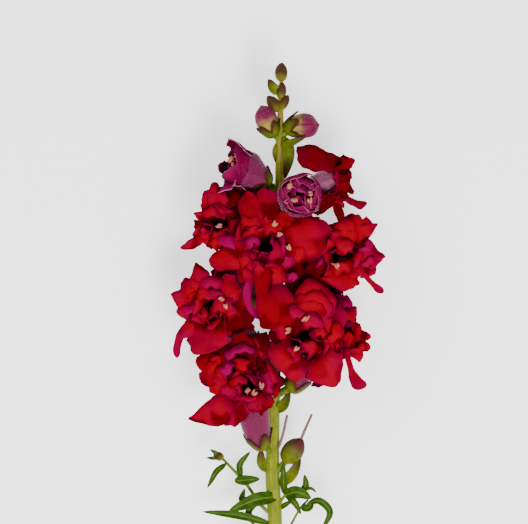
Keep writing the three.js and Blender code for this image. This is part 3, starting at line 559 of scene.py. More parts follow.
@dataclass(frozen=True)
class SkinFinish:
    """Green skin, with a tint that grows towards the tip of each piece."""

    name: str
    low: Colour
    high: Colour
    tip: Colour
    tip_from: float = 0.7
    rib: float = 0.0
    tip_full: float = 1.0
    rib_colour: Colour = (0.13, 0.21, 0.025)

    def material(self) -> bpy.types.Material:
        """Makes the finish.

        Returns:
            The material.
        """
        shader = Shader(self.name, roughness=0.5, specular_ior_level=0.08)
        along, across = shader.attribute("along"), shader.attribute("across")
        blotch = shader.noise(3.0, 3.0)
        colour = shader.blend(blotch.ramp(0.3, 0.7), self.low, self.high)
        tipped = (along + blotch * 0.3 - 0.15).ramp(self.tip_from, self.tip_full)
        colour = shader.blend(tipped, colour, self.tip)
        rib = 1.0 - abs(across).ramp(0.02, 0.16)
        colour = shader.blend(rib * self.rib, colour, self.rib_colour)
        veins = (abs(across) * 9.0 - along * 26.0).sine() * 0.5 + 0.5
        shader.bump(shader.noise(0.6, 3.0) * 0.5 + veins * (0.5 * self.rib), 0.25)
        return shader.paint(colour)


@dataclass(frozen=True)
class StemFinish:
    """Skin of the main stem: yellow-green, browner and more purple towards the tip."""

    name: str = "stem_skin"
    low: Colour = (0.11, 0.13, 0.002)
    high: Colour = (0.165, 0.19, 0.005)
    brown: Colour = (0.2, 0.115, 0.024)
    fleck: Colour = (0.24, 0.26, 0.03)
    cut: Colour = (0.55, 0.6, 0.35)
    ridges: float = 75.4

    def material(self) -> bpy.types.Material:
        """Makes the finish.

        Returns:
            The material.
        """
        shader = Shader(self.name, roughness=0.5, specular_ior_level=0.12)
        y = shader.axis("Y")
        blotch = shader.noise(4.0, 3.0)
        fine = shader.noise(0.8, 3.0)
        colour = shader.blend(blotch.ramp(0.3, 0.7), self.low, self.high)
        near_tip = (y * 0.01 + blotch * 0.25 - 0.12).ramp(0.8, 1.35)
        colour = shader.blend(near_tip * 0.85, colour, self.brown)
        colour = shader.blend(fine.ramp(0.55, 0.75) * 0.25, colour, self.fleck)
        cut = 1.0 - y.ramp(STEM_FOOT - 0.6, STEM_FOOT + 0.4)
        colour = shader.blend(cut, colour, self.cut)
        ridges = (shader.attribute("across") * self.ridges).sine() * 0.5 + 0.5
        shader.bump(ridges * 0.5 + fine * 0.5, 0.3)
        return shader.paint(colour)


@dataclass(frozen=True)
class PlainFinish:
    """A small part with a fine grain."""

    name: str
    colour: Colour
    other: Colour
    roughness: float = 0.5
    sheen: float = 0.0
    gloss: float = 0.3
    glow: float = 0.0

    def material(self) -> bpy.types.Material:
        """Makes the finish.

        Returns:
            The material.
        """
        shader = Shader(
            self.name,
            roughness=self.roughness,
            sheen_weight=self.sheen,
            specular_ior_level=self.gloss,
            emission_color=(1.0, 1.0, 1.0, 1.0),
            emission_strength=self.glow,
        )
        grain = shader.noise(0.9, 3.0)
        shader.bump(grain, 0.15)
        return shader.paint(shader.blend(grain.ramp(0.35, 0.65), self.colour, self.other))


# Linear colours: of a petal its middle, its painted shade in the throat and folds, its edge and its
# flush; of a tube or bud its foot, middle, end and stripes; of green skin its two shades and its tip.
RED_FACE = PetalFinish(
    "petal_face", (0.225, 0.0, 0.006), (0.055, 0.0, 0.001), (0.17, 0.0, 0.023), (0.185, 0.0, 0.044)
)
RED_BACK = PetalFinish(
    "petal_back", (0.15, 0.0, 0.024), (0.08, 0.0, 0.012), (0.14, 0.0, 0.03), (0.2, 0.002, 0.065), sheen=0.12
)
RED_RIM = PlainFinish("petal_rim", (0.15, 0.0, 0.012), (0.18, 0.0, 0.03), gloss=0.0)
MAUVE_FACE = PetalFinish(
    "bud_petal_face", (0.1, 0.0, 0.02), (0.03, 0.0, 0.006), (0.14, 0.002, 0.04), (0.2, 0.006, 0.07),
    sheen=0.08,
)
MAUVE_BACK = PetalFinish(
    "bud_petal_back", (0.12, 0.0, 0.028), (0.06, 0.002, 0.018), (0.16, 0.006, 0.05), (0.22, 0.012, 0.08),
    sheen=0.12,
)
MAUVE_RIM = PlainFinish("bud_petal_rim", (0.3, 0.06, 0.13), (0.38, 0.13, 0.2))
TUBE_SKIN = FuzzFinish(
    "tube_skin", (0.112, 0.014, 0.036), (0.112, 0.006, 0.038), (0.11, 0.003, 0.038), (0.06, 0.0, 0.02), 0.18
)
# The inside of a tube: dark red, darkened further as painted shade in the throat.
TUBE_INSIDE = PlainFinish("tube_inside", (0.04, 0.0, 0.002), (0.07, 0.0, 0.004), gloss=0.0)
BUD_SKIN = FuzzFinish(
    "bud_skin", (0.26, 0.2, 0.035), (0.13, 0.006, 0.036), (0.11, 0.0, 0.03), (0.06, 0.0, 0.015), 0.06, 0.24
)
CALYX_SKIN = SkinFinish(
    "calyx_skin", (0.05, 0.07, 0.001), (0.1, 0.12, 0.002), (0.04, 0.012, 0.003), 0.4, tip_full=0.95
)
SCALE_SKIN = SkinFinish(
    "scale_skin", (0.08, 0.08, 0.004), (0.13, 0.13, 0.01), (0.045, 0.018, 0.005), 0.05, tip_full=0.55
)
LEAF_SKIN = SkinFinish(
    "leaf_skin", (0.013, 0.038, 0.0002), (0.03, 0.07, 0.0005), (0.03, 0.06, 0.0005), 0.9, 0.5
)
SHOOT_SKIN = SkinFinish("shoot_skin", (0.06, 0.11, 0.004), (0.11, 0.16, 0.008), (0.05, 0.11, 0.004))
SEED_SKIN = SkinFinish(
    "seed_case_skin", (0.055, 0.07, 0.002), (0.1, 0.11, 0.004), (0.06, 0.012, 0.012), 0.3, tip_full=0.9
)
STYLE_SKIN = PlainFinish("style_skin", (0.11, 0.05, 0.035), (0.17, 0.09, 0.06))
ANTHER_SKIN = PlainFinish("anther_skin", (0.26, 0.062, 0.03), (0.38, 0.13, 0.07))
FILAMENT_SKIN = PlainFinish("filament_skin", (0.3, 0.07, 0.07), (0.36, 0.12, 0.1))
HAIR_SKIN = PlainFinish("hair_skin", (0.3, 0.3, 0.1), (0.4, 0.38, 0.16), sheen=0.1)
MAUVE_HAIR = PlainFinish("mauve_hair", (0.4, 0.16, 0.28), (0.6, 0.32, 0.46), sheen=0.1)


# ---------------------------------------------------------------- meshes
def show(name: str, data: bpy.types.ID) -> bpy.types.Object:
    """Adds an object to the scene.

    Args:
        name: Its name.
        data: Its mesh, light or camera.

    Returns:
        The object.
    """
    made = bpy.data.objects.new(name, data)
    bpy.context.scene.collection.objects.link(made)
    return made


class Piece:
    """One piece of the model while its mesh is made, in millimetres."""

    def __init__(self, name: str) -> None:
        """Starts an empty mesh with the numbers that the finishes read.

        Args:
            name: The piece's name.
        """
        self.name = name
        self.bm = bmesh.new()
        layers = self.bm.verts.layers.float
        self.layers = [layers.new(key) for key in ("along", "across", "tint", "shade")]

    def fresh(self) -> list[bmesh.types.BMVert]:
        """Finds what was made since the last call.

        Returns:
            The new vertices.
        """
        made = [v for v in self.bm.verts if not v.tag]
        for vert in made:
            vert.tag = True
        return made

    def put(self, verts: list[bmesh.types.BMVert], points: Array, *numbers: Array) -> None:
        """Places vertices and writes their numbers.

        Args:
            verts: The vertices.
            points: Their places.
            numbers: Their along, across, tint and shade.
        """
        for vert, point in zip(verts, points):
            vert.co = point
        for layer, values in zip(self.layers, numbers):
            for vert, value in zip(verts, np.broadcast_to(values, len(verts))):
                vert[layer] = float(value)

    def sheet(
        self,
        surface: Surface,
        steps: tuple[int, int],
        tint: float = 0.0,
        shade: Surface | None = None,
    ) -> None:
        """Adds a sheet: a grid laid over a surface.

        Args:
            surface: Gives the points for shares 0 to 1 along and -1 to 1 across.
            steps: Number of faces along and across.
            tint: A number for the finish.
            shade: Gives the painted shade, how deep in a fold the finish lies, from 0 to 1.
        """
        bmesh.ops.create_grid(self.bm, x_segments=steps[0], y_segments=steps[1], size=1.0)
        verts = self.fresh()
        flat = np.array([v.co for v in verts])
        along, across = (flat[:, 0] + 1.0) / 2.0, flat[:, 1]
        depth = shade(along, across) if shade else np.array(0.0)
        self.put(verts, surface(along, across), along, across, np.array(tint), depth)

    def lathe(
        self,
        profile: Sequence[tuple[float, float]],
        sides: int,
        shape: Shape,
        tint: float = 0.0,
    ) -> None:
        """Adds a profile turned round an axis and laid along something.

        Args:
            profile: Pairs of distance and radius.
            sides: Number of faces round.
            shape: Gives the points for distances, radii and angles.
            tint: A number for the finish.
        """
        line = [self.bm.verts.new((radius, 0.0, distance)) for distance, radius in profile]
        edges = [self.bm.edges.new(pair) for pair in zip(line, line[1:])]
        bmesh.ops.spin(
            self.bm,
            geom=line + edges,
            cent=(0.0, 0.0, 0.0),
            axis=(0.0, 0.0, 1.0),
            angle=TURN,
            steps=sides,
            use_merge=True,
            use_duplicate=False,
        )
        bmesh.ops.remove_doubles(self.bm, verts=[v for v in self.bm.verts if not v.tag], dist=1e-5)
        verts = self.fresh()
        flat = np.array([v.co for v in verts])
        distance, radius = flat[:, 2], np.hypot(flat[:, 0], flat[:, 1])
        angle = np.arctan2(flat[:, 1], flat[:, 0])
        self.turn_out(list(dict.fromkeys(face for vert in verts for face in vert.link_faces)))
        low, high = distance.min(), distance.max()
        share = (distance - low) / (high - low)
        self.put(verts, shape(distance, radius, angle), share, angle / TURN, np.array(tint))

    def turn_out(self, faces: list[bmesh.types.BMFace]) -> None:
        """Turns a lathe's faces away from its axis.

        Args:
            faces: The faces.
        """
        outward = 0.0
        for face in faces:
            face.normal_update()
            middle = face.calc_center_median()
            outward += face.normal.dot(Vector((middle.x, middle.y, 0.0))) * face.calc_area()
        if outward < 0.0:
            bmesh.ops.reverse_faces(self.bm, faces=faces)

    def done(
        self,
        finishes: Sequence[bpy.types.Material],
        slot: Slot,
        thick: float = 0.0,
        replaces: Sequence[str] = (),
    ) -> None:
        """Makes the piece an object that rides on the plant.

        Args:
            finishes: Materials of its face, its back and its edge.
            slot: The record's slot of the piece; not used.
            thick: Thickness given to a sheet, or 0.
            replaces: Nodes that it stands for.
        """
        bmesh.ops.scale(self.bm, vec=(MM, MM, MM), verts=self.bm.verts)
        mesh = bpy.data.meshes.new(self.name)
        self.bm.to_mesh(mesh)
        self.bm.free()
        mesh.polygons.foreach_set("use_smooth", [True] * len(mesh.polygons))
        for material in finishes:
            mesh.materials.append(material)
        piece = show(self.name, mesh)
        if thick:
            shell = piece.modifiers.new("thickness", "SOLIDIFY")
            shell.thickness = thick * MM
            shell.offset = 0.0
            shell.material_offset = min(1, len(finishes) - 1)
            shell.material_offset_rim = min(2, len(finishes) - 1)
        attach(piece, "root")
        if replaces:
            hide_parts(*replaces)
        LOG.info("%s: %d faces", self.name, len(mesh.polygons))


# ---------------------------------------------------------------- flowers
@dataclass(frozen=True)
class Petal:
    """A petal that springs from a flower's mouth: its tip, widths, directions and waves."""

    tip: Point
    half: float  # half its width at the shoulder
    share: float = 0.85  # width of its tip as a share of that
    lean: float = 35.0  # degrees from the flower's axis at its root
    end: float = 110.0  # the same at its tip
    frill: float = 0.8  # height of the waves along its edge
    waves: float = 6.0  # how close they follow
    cup: float = -0.1  # how far its edges stand up
    roll: float = 0.9  # how far its rim hangs over
    round: float = 0.52  # how much of its length its corners lose
    bow: float = 0.0  # how far its middle lies to one side
    base: float = 4.6  # half its width at its root
    ring: float = 0.88  # place of its root as a share of the mouth's radius
    sink: float = 1.0  # depth of its root in the mouth
    crumple: float = 1.45  # height of its folds
    tint: float = 0.0  # below 0 painted shade, above 0 flushed
    free: bool = False  # whether it passes the walls


@dataclass(frozen=True)
class Ridge:
    """An inner petal that stands up: the line of its crest, its size and how deep its inside is."""

    crest: tuple[Point, ...]
    half: float = 2.0
    # tint: below 0 painted shade, above 0 flushed.
    tint: float = 0.1
    deep: float = 5.0


@dataclass(frozen=True)
class Bloom:
    """A flower: where it sits, where it looks, the room it fills and its petals."""

    name: str
    seat: Point
    drop: float  # how far below the seat its stalk leaves the stem
    mouth: Point
    face: Point
    heart: Point  # middle of the room it fills
    spread: float  # size of that room
    radius: float  # of its mouth
    seed: int
    lobes: tuple[Petal, ...] = ()
    inner: tuple[Petal, ...] = ()
    ridges: tuple[Ridge, ...] = ()
    anthers: tuple[Point, ...] = ()
    belly: float = 0.0  # greatest radius of a bud
    first: float | None = None  # turn of the first lobe, where they are spread evenly
    ruffles: tuple[int, int] = (5, 3)  # petals of the two inner rings
    reach: float = 17.0  # length of evenly spread lobes
    down: float = 1.0  # length and number of its hairs
    backs: int = 6  # petals of the whorl behind the lobes
    sepal: float = 1.0  # length of its sepals
    dim: float = 0.0  # how dark its tube is as painted shade, and below 0 how pale as painted light

    @property
    def out(self) -> Array:
        """Returns the direction out of the mouth."""
        return unit(np.array(self.face, float))

    @property
    def up(self) -> Array:
        """Returns the direction towards the stem's tip, in the face's plane."""
        return unit(UP - self.out * float(UP @ self.out))

    @property
    def right(self) -> Array:
        """Returns the direction to the right, in the face's plane."""
        return np.cross(self.up, self.out)

    @property
    def tube(self) -> Path:
        """Works out the middle line of the tube.

        Returns:
            The line, from the seat to the mouth.
        """
        seat, mouth = np.array(self.seat, float), np.array(self.mouth, float)
        reach = 0.4 * np.linalg.norm(mouth - seat)
        rise = unit(seat - stem_at(self.seat[1] - self.drop))
        return Path.bezier(seat, seat + rise * reach, mouth - self.out * reach, mouth)

    def tube_radii(self, length: float) -> tuple[list[float], list[float]]:
        """Gives the tube's shape.

        Args:
            length: The tube's length.

        Returns:
            Distances along it and its radii there.
        """
        belly = self.belly or self.radius - 0.4
        rim = CALYX_DEEP + SEPAL_WAVE
        if self.radius:
            return [0, rim, 0.6 * length, length], [TUBE_FOOT, 0.8 * belly, belly, self.radius]
        return [0, rim, 0.82 * length, length], [0.9 * TUBE_FOOT, belly, 0.78 * belly, 0.3]

    def skin(self, distance: Array, length: float) -> Array:
        """Gives the tube's skin, without corners.

        Args:
            distance: Distances along the tube.
            length: The tube's length.

        Returns:
            Its radii there.
        """
        stations, radii = self.tube_radii(length)
        knots = [(s, r, 0.0) for s, r in zip(stations, radii)]
        line = Path.through(knots, 16).points
        return np.interp(distance, line[:, 0], line[:, 1])

    def skin_at(self, distance: float, length: float) -> float:
        """Returns the tube's radius at one distance along it."""
        return float(self.skin(np.array([distance]), length)[0])

    def towards(self, turn: float, reach: float, height: float) -> Array:
        """Returns a point by its turn round the mouth, its distance from the axis and its height."""
        flat = self.up * math.cos(turn) + self.right * math.sin(turn)
        return np.array(self.mouth, float) + flat * reach + self.out * height

    def outer(self) -> list[Petal]:
        """Lists the broad lobes round the mouth, as given or spread evenly.

        Returns:
            The lobes.
        """
        if self.first is None:
            return list(self.lobes)
        draw = Stream(self.seed)
        lobes = []
        for i in range(5):
            turn = math.radians(self.first) + TURN * (i + 0.3 * draw()) / 5
            reach = self.reach * draw.between(0.9, 1.15)
            tip = self.towards(turn, reach, draw.between(-2.5, 3.0))
            half = 9.5 * draw.between(0.85, 1.1)
            lobes.append(Petal(tuple(tip), half, share=draw.between(0.75, 1.0)))
        return lobes

    def behind(self) -> list[Petal]:
        """Makes a whorl of shorter petals behind the lobes, which fills the gaps between them, some
        darkened by painted shade.

        Returns:
            The petals.
        """
        draw = Stream(self.seed + BACK_SEED)
        petals = []
        for i in range(self.backs):
            turn = TURN * (i + 0.6 * draw()) / self.backs
            tip = self.towards(turn, self.radius + draw.between(6.0, 9.0), draw.between(-5.5, -3.0))
            half = draw.between(6.0, 8.5)
            # A random tint below 0: painted shade on the whorl.
            petals.append(back_petal(tuple(tip), half, tint=-0.6 * draw()))
        return petals

    def ruffle(self) -> list[Petal]:
        """Makes the two rings of crumpled inner petals.

        Returns:
            The petals.
        """
        draw = Stream(self.seed + RUFFLE_SEED)
        petals = []
        wide, narrow = self.ruffles
        for i in range(wide):
            turn = TURN * (i + 0.5 * draw()) / wide
            reach = self.radius + draw.between(1.5, 6.5)
            tip = self.towards(turn, reach, draw.between(1.5, 5.0))
            half, share = draw.between(5.0, 7.4), draw.between(0.7, 1.0)
            lean, end = draw.between(5, 30), draw.between(60, 125)
            petals.append(wide_ruffle(tuple(tip), half, share, lean, end, tint=0.7 * draw() ** 2))
        for i in range(narrow):
            turn = TURN * (i + 0.6 * draw()) / narrow
            tip = self.towards(turn, draw.between(1.5, 5.5), draw.between(2.0, 4.5))
            half, lean, end = draw.between(3.0, 4.6), draw.between(-5, 20), draw.between(-110, 80)
            petals.append(narrow_ruffle(tuple(tip), half, 0.95, lean, end, tint=0.8 * draw() ** 1.5))
        return petals


class Room:
    """The room that a flower has among its neighbours, beside the stem and over the floor."""

    def __init__(self, bloom: Bloom, others: Iterable[Bloom]) -> None:
        """Works out the walls between a flower and the others.

        Args:
            bloom: The flower.
            others: All flowers.
        """
        self.walls: list[tuple[Array, float]] = []
        here = np.array(bloom.heart, float)
        for other in others:
            if other is bloom:
                continue
            there = np.array(other.heart, float)
            apart = float(np.linalg.norm(there - here))
            share = (apart**2 + bloom.spread**2 - other.spread**2) / (2.0 * apart**2)
            middle = here + (there - here) * share
            direction = there - here
            if here[2] > FRONT and there[2] > FRONT and not bloom.belly and not other.belly:
                direction[2] += OVERHANG * direction[1]
            direction = unit(direction)
            self.walls.append((direction, float(direction @ middle) - WALL_KEEP))

    @staticmethod
    def ease(distance: Array, limit: Array | float, soft: float) -> Array:
        """Slows distances down before a limit, which they never reach.

        Args:
            distance: The distances.
            limit: The limit, or one for each.
            soft: How far before the limit they start to slow.

        Returns:
            The slowed distances.
        """
        start = limit - soft
        over = np.maximum(distance - start, 0.0)
        return np.where(distance <= start, distance, limit - soft * np.exp(-over / soft))

    def bend(self, points: Array, free: bool = False) -> Array:
        """Bends points clear of the walls, the stem and the floor.

        Args:
            points: The points, one to a row.
            free: Whether the walls are left out.

        Returns:
            The bent points.
        """
        bent = points.copy()
        for direction, limit in [] if free else self.walls:
            distance = bent @ direction
            bent += (self.ease(distance, limit, WALL_SOFT) - distance)[:, None] * direction
        axis = stem_at(np.clip(bent[:, 1], STEM_FOOT, STEM_TIP))
        away = bent - axis
        away[:, 1] = 0.0
        distance = np.maximum(np.linalg.norm(away, axis=1), 0.1)
        least = stem_radius(bent[:, 1]) + STEM_CLEAR
        wanted = -self.ease(-distance, -least, STEM_SOFT)
        wanted = np.where(bent[:, 1] < STEM_TIP, wanted, distance)
        bent += away * ((wanted - distance) / distance)[:, None]
        bent[:, 2] = np.maximum(bent[:, 2], PETAL_THICK)
        return bent


class Crumple:
    """Soft random folds over a petal."""

    def __init__(self, draw: Stream, strength: float) -> None:
        """Draws the folds.

        Args:
            draw: Draws their directions, lengths and phases.
            strength: Their height against the usual.
        """
        self.waves = []
        self.high = 0.0
        for size in FOLD_SIZES:
            turn = draw.between(0.0, math.pi)
            pace = TURN / (size * draw.between(0.85, 1.2))
            high = strength * size * FOLD_HEIGHT
            self.high += 0.5 * high
            phase = draw.between(0.0, 6.3)
            self.waves.append((pace * math.cos(turn), pace * math.sin(turn), phase, high))

    def at(self, x: Array, y: Array) -> Array:
        """Returns the folds' height at places on the petal."""
        return sum(high * np.sin(kx * x + ky * y + phase) for kx, ky, phase, high in self.waves)


class PetalSurface:
    """The middle surface of a petal of a flower."""

    def __init__(self, bloom: Bloom, petal: Petal, room: Room, draw: Stream) -> None:
        """Works out the petal's middle line and draws its waves.

        Args:
            bloom: The flower.
            petal: The petal.
            room: The flower's room.
            draw: Draws the waves.
        """
        self.petal = petal
        self.room = room
        mouth, tip = np.array(bloom.mouth, float), np.array(petal.tip, float)
        radial = tip - mouth
        self.radial = unit(radial - bloom.out * float(radial @ bloom.out))
        self.sideways = np.cross(bloom.out, self.radial)
        self.ring = bloom.radius * petal.ring
        root = mouth + self.radial * self.ring - bloom.out * petal.sink
        self.chord = float(np.linalg.norm(tip - root))
        lean, end = math.radians(petal.lean), math.radians(petal.end)
        leave = root + (bloom.out * math.cos(lean) + self.radial * math.sin(lean)) * 0.45 * self.chord
        arrive = tip - (bloom.out * math.cos(end) + self.radial * math.sin(end)) * 0.35 * self.chord
        self.control = (root, leave, arrive, tip)
        self.phases = [draw.between(0.0, 6.3) for _ in range(4)]
        self.crumple = Crumple(draw, petal.crumple)

    def reach(self, along: Array, across: Array) -> Array:
        """Returns shares of the middle line, which the corners of the petal don't reach."""
        return along * (1.0 - self.petal.round * np.abs(across) ** CORNER * smooth(along))

    def shade(self, along: Array, across: Array) -> Array:
        """Finds the painted shade: how deep places lie in the folds and the throat.

        Args:
            along: Shares of the petal's length.
            across: Shares of its half width, to either side.

        Returns:
            The depths, from 0 to 1.
        """
        u = self.reach(along, across)
        folds = self.crumple.at(u * self.chord, self.petal.half * across)
        valley = np.clip(-folds / max(self.crumple.high, 0.1), 0.0, 1.0)
        strength = 0.8 * min(1.0, self.petal.crumple)
        return np.maximum(strength * valley, 1.0 - smooth(u / THROAT))

    def line(self, t: Array) -> tuple[Array, Array]:
        """Follows the middle line.

        Args:
            t: Shares of it.

        Returns:
            Its points and its directions there.
        """
        a, b, c, d = self.control
        s = 1.0 - t
        point = s**3 * a + 3 * s**2 * t * b + 3 * s * t**2 * c + t**3 * d
        tangent = s**2 * (b - a) + 2 * s * t * (c - b) + t**2 * (d - c)
        return point, unit(tangent)

    def __call__(self, along: Array, across: Array) -> Array:
        """Lays the petal out.

        Args:
            along: Shares of the petal's length.
            across: Shares of its half width, to either side.

        Returns:
            The surface's points.
        """
        p = self.petal
        phase = self.phases
        u = self.reach(along, across)
        notch = np.sin(6.0 * across + phase[3]) + 0.5 * np.sin(15.0 * across + phase[2])
        notch = notch * min(1.0, (p.half / 8.0) ** 2)
        u = u * (1.0 + p.frill / self.chord * smooth(along * 2 - 1) * notch)
        point, tangent = self.line(np.clip(u, 0.0, 1.1)[:, None])
        front = np.cross(tangent, self.sideways)
        settle = smooth(u / THROAT)
        width = p.base + (p.half - p.base) * smooth(u / SHOULDER)
        width = width * (1.0 + (p.share - 1.0) * smooth((u - SHOULDER) / (1.0 - SHOULDER)))
        uneven = np.sin(9.0 * u + phase[2]) + np.sin(21.0 * u + phase[1])
        width = width * (1.0 + 0.05 * uneven * settle)
        side = width * across
        cup = (p.base / (2.0 * self.ring) * (1 - settle) + p.cup * settle) * width * across**2
        edge = np.maximum(u**3, np.minimum(1.0, 1.6 * u) * np.abs(across) ** 3)
        turn = np.arctan2(side, (u + 0.15) * self.chord)
        frill = p.frill * edge * np.sin(p.waves * turn + phase[0])
        frill = frill + 0.35 * p.frill * edge * np.sin(2.3 * p.waves * turn + phase[1])
        folds = self.crumple.at(u * self.chord, side) * smooth(u / 0.35)
        lift = cup + frill + folds + 0.4 * p.frill * u * np.sin(2.4 * across + 1.7 * phase[0])
        lift = lift - p.roll * (smooth(np.abs(across) * 2.5 - 1.5) * settle + smooth(along * 4.0 - 3.0))
        sway = side + 4.0 * p.bow * u * (1.0 - u)
        return self.room.bend(point + front * lift[:, None] + self.sideways * sway[:, None], p.free)


class RidgeSurface:
    """The middle surface of an inner petal that stands up steeply and bends over outwards."""

    def __init__(self, bloom: Bloom, ridge: Ridge, room: Room, draw: Stream) -> None:
        """Works out the crest and draws the petal's waves.

        Args:
            bloom: The flower.
            ridge: The petal.
            room: The flower's room.
            draw: Draws the waves.
        """
        self.ridge = ridge
        self.room = room
        self.out = bloom.out
        crest = Path.through(ridge.crest, 12)
        middle = len(crest.points) // 2
        away = crest.points[middle] - np.array(bloom.mouth, float)
        if float(np.cross(self.out, crest.tangents[middle]) @ away) < 0.0:
            crest = Path(crest.points[::-1])
        self.crest = crest
        self.crumple = Crumple(draw, 0.55)
        self.phases = [draw.between(0.0, 6.3) for _ in range(3)]

    def __call__(self, along: Array, across: Array) -> Array:
        """Lays the petal out.

        Args:
            along: Shares of the crest's length.
            across: Places from its inside, at -1, over the crest to its outside, at 1.

        Returns:
            The surface's points.
        """
        half, deep = self.ridge.half, self.ridge.deep
        first, second, third = self.phases
        distance = along * self.crest.length
        point, out, side = self.crest.at(distance, self.out)
        end = np.abs(2.0 * along - 1.0)
        inside, outside = np.clip(-across, 0.0, 1.0), np.clip(across, 0.0, 1.0)
        bend = 0.45 * half * (1.0 - 0.6 * end**2)
        arc = np.minimum(2.0 * inside, 1.0) * math.pi / 2.0
        reach = 2.2 * half * (1.0 - 0.7 * end**3) * (1.0 + 0.22 * np.sin(0.9 * distance + first))
        wide = reach * outside - bend * np.sin(arc) + 0.4 * np.sin(1.2 * distance + second)
        wave = 0.35 * np.sin(1.4 * distance + third) * (0.4 + outside)
        fall = bend * (1.0 - np.cos(arc)) + deep * np.maximum(2.0 * inside - 1.0, 0.0)
        fall = fall + 0.4 * reach * outside**2 + 1.6 * smooth((outside - 0.65) / 0.35) + 2.8 * end**3
        high = wave - fall + self.crumple.at(distance, wide) * outside
        return self.room.bend(point - side * wide[:, None] + out * high[:, None])

    def shade(self, along: Array, across: Array) -> Array:
        """Returns the painted shade: how deep each place lies below the crest, and a little towards its
        outer edge.
        """
        inside, outside = np.clip(-across, 0.0, 1.0), np.clip(across, 0.0, 1.0)
        return np.clip(1.8 * inside - 0.3, 0.0, 1.0) + 0.5 * outside**3


# ---------------------------------------------------------------- kinds of petals
loose = partial(Petal, free=True)
shadow_filler = partial(loose, tint=-1.0)  # a dark petal in a gap: painted shade
back_petal = partial(Petal, lean=70, end=125, sink=3.0, ring=0.95)  # behind the lobes
wide_ruffle = partial(Petal, frill=1.2, waves=7.0, ring=0.66, sink=2.6, base=2.6, crumple=1.4)
narrow_ruffle = partial(Petal, waves=7.0, ring=0.4, sink=3.4, base=1.8, crumple=1.2)
# A narrow petal that hangs out past the lobes.
strap = partial(
    Petal, end=80.0, frill=0.35, cup=0.12, roll=0.2, round=0.1, base=1.4, ring=0.8, crumple=0.4, tint=0.4
)
# An inner petal that stands up in the mouth and shows its face.
fold = partial(
    Petal, share=0.9, lean=10.0, end=75.0, frill=0.9, waves=8.0, roll=0.6, round=0.3, base=2.8, ring=0.6,
    sink=2.6, crumple=1.1, tint=0.1,
)
# Petals that close round the mouth of an opening bud, and those that wrap round its tube.
bud_petal = partial(
    Petal, lean=5.0, end=-60.0, frill=0.25, cup=0.36, roll=0.0, round=0.3, base=6.0, crumple=0.6
)
bud_wrap = partial(bud_petal, ring=1.05, sink=5.0)

# ---------------------------------------------------------------- the flowers
LOWER_LEFT = Bloom(
    "lower_left", (-6.6, -26.5, 30), 5, (-13, 3, 44), (-0.12, 0.2, 0.97), (-19, 1, 47), spread=22,
    radius=7.8, seed=11,
    lobes=(
        loose((-42, -14.4, 38), 7.2, 0.45, lean=50, frill=0.4, roll=1.4, bow=4.6),
        Petal((-25, -16.8, 40), 8.2, 1.0),
        Petal((-5.5, -9.6, 42), 6.8, lean=50),
        Petal((-36.5, 5, 42), 5, 1.0, tint=-0.4),
        loose((-38.2, 14.5, 39.5), 6, 1.1, tint=-0.3),
        Petal((-29, 20, 42), 8, 1.0),
        Petal((-12, 26, 43.5), 9, tint=0.3),
        Petal((-2, 16, 46), 8, end=70, tint=0.4),
        shadow_filler((-6.5, 26, 41), 6.5),
        loose((-18, 26, 47), 6.5, tint=-0.7),
        shadow_filler((3, 3.6, 38.5), 6.5, lean=60),
        Petal((-6.5, 11.5, 49.5), 4.5, lean=30, tint=-1),
    ),
    inner=(
        fold((-18, 9, 50), 5.5, end=55, tint=0.0),
        fold((-20, 2, 51), 4.5, lean=20, tint=0.0),
        fold((-12.5, 5.5, 50), 4, lean=0, end=50, tint=0.0),
        fold((-30, 7, 46), 6, lean=50, end=100),
        fold((-15, -6, 50), 5.5, lean=40, end=110, tint=0.2),
        fold((-3, 2, 48), 3.4, lean=30, tint=0.3),
    ),
    ridges=(
        Ridge(((-24, 12.5, 51.5), (-18.5, 17.5, 53), (-10, 17, 52)), 2.1, 0.95),
        Ridge(((-25.5, 4, 49.5), (-22.5, 8.5, 51), (-20, 12.5, 50.5)), 2, 0.9),
        Ridge(((-17, 6, 51.5), (-15.5, 10.5, 53), (-13.5, 14.5, 51.5)), 3, 0.0),
        Ridge(((-4.5, 2, 49), (-3, 8, 51), (-4.5, 15, 50)), 1.8, 0.2),
        Ridge(((-23, 0, 49), (-18, 3.5, 50.5), (-13.5, 2.5, 49.5)), 1.7, 0.0),
        Ridge(((-35, 5.5, 44), (-30, 9, 47), (-27.5, 14, 46.5)), 2.3, 0.0),
        Ridge(((-33, -1, 43.5), (-28, 1.5, 46.5), (-23.5, 0.5, 47.5)), 2.1, 0.0),
        Ridge(((-31, 17, 43.5), (-27, 13.5, 47), (-26, 9, 47)), 1.8, 0.1),
    ),
    anthers=((-13.8, -0.8, 50), (-7.6, 1.6, 50.2), (-11.2, -2.2, 49)),
)
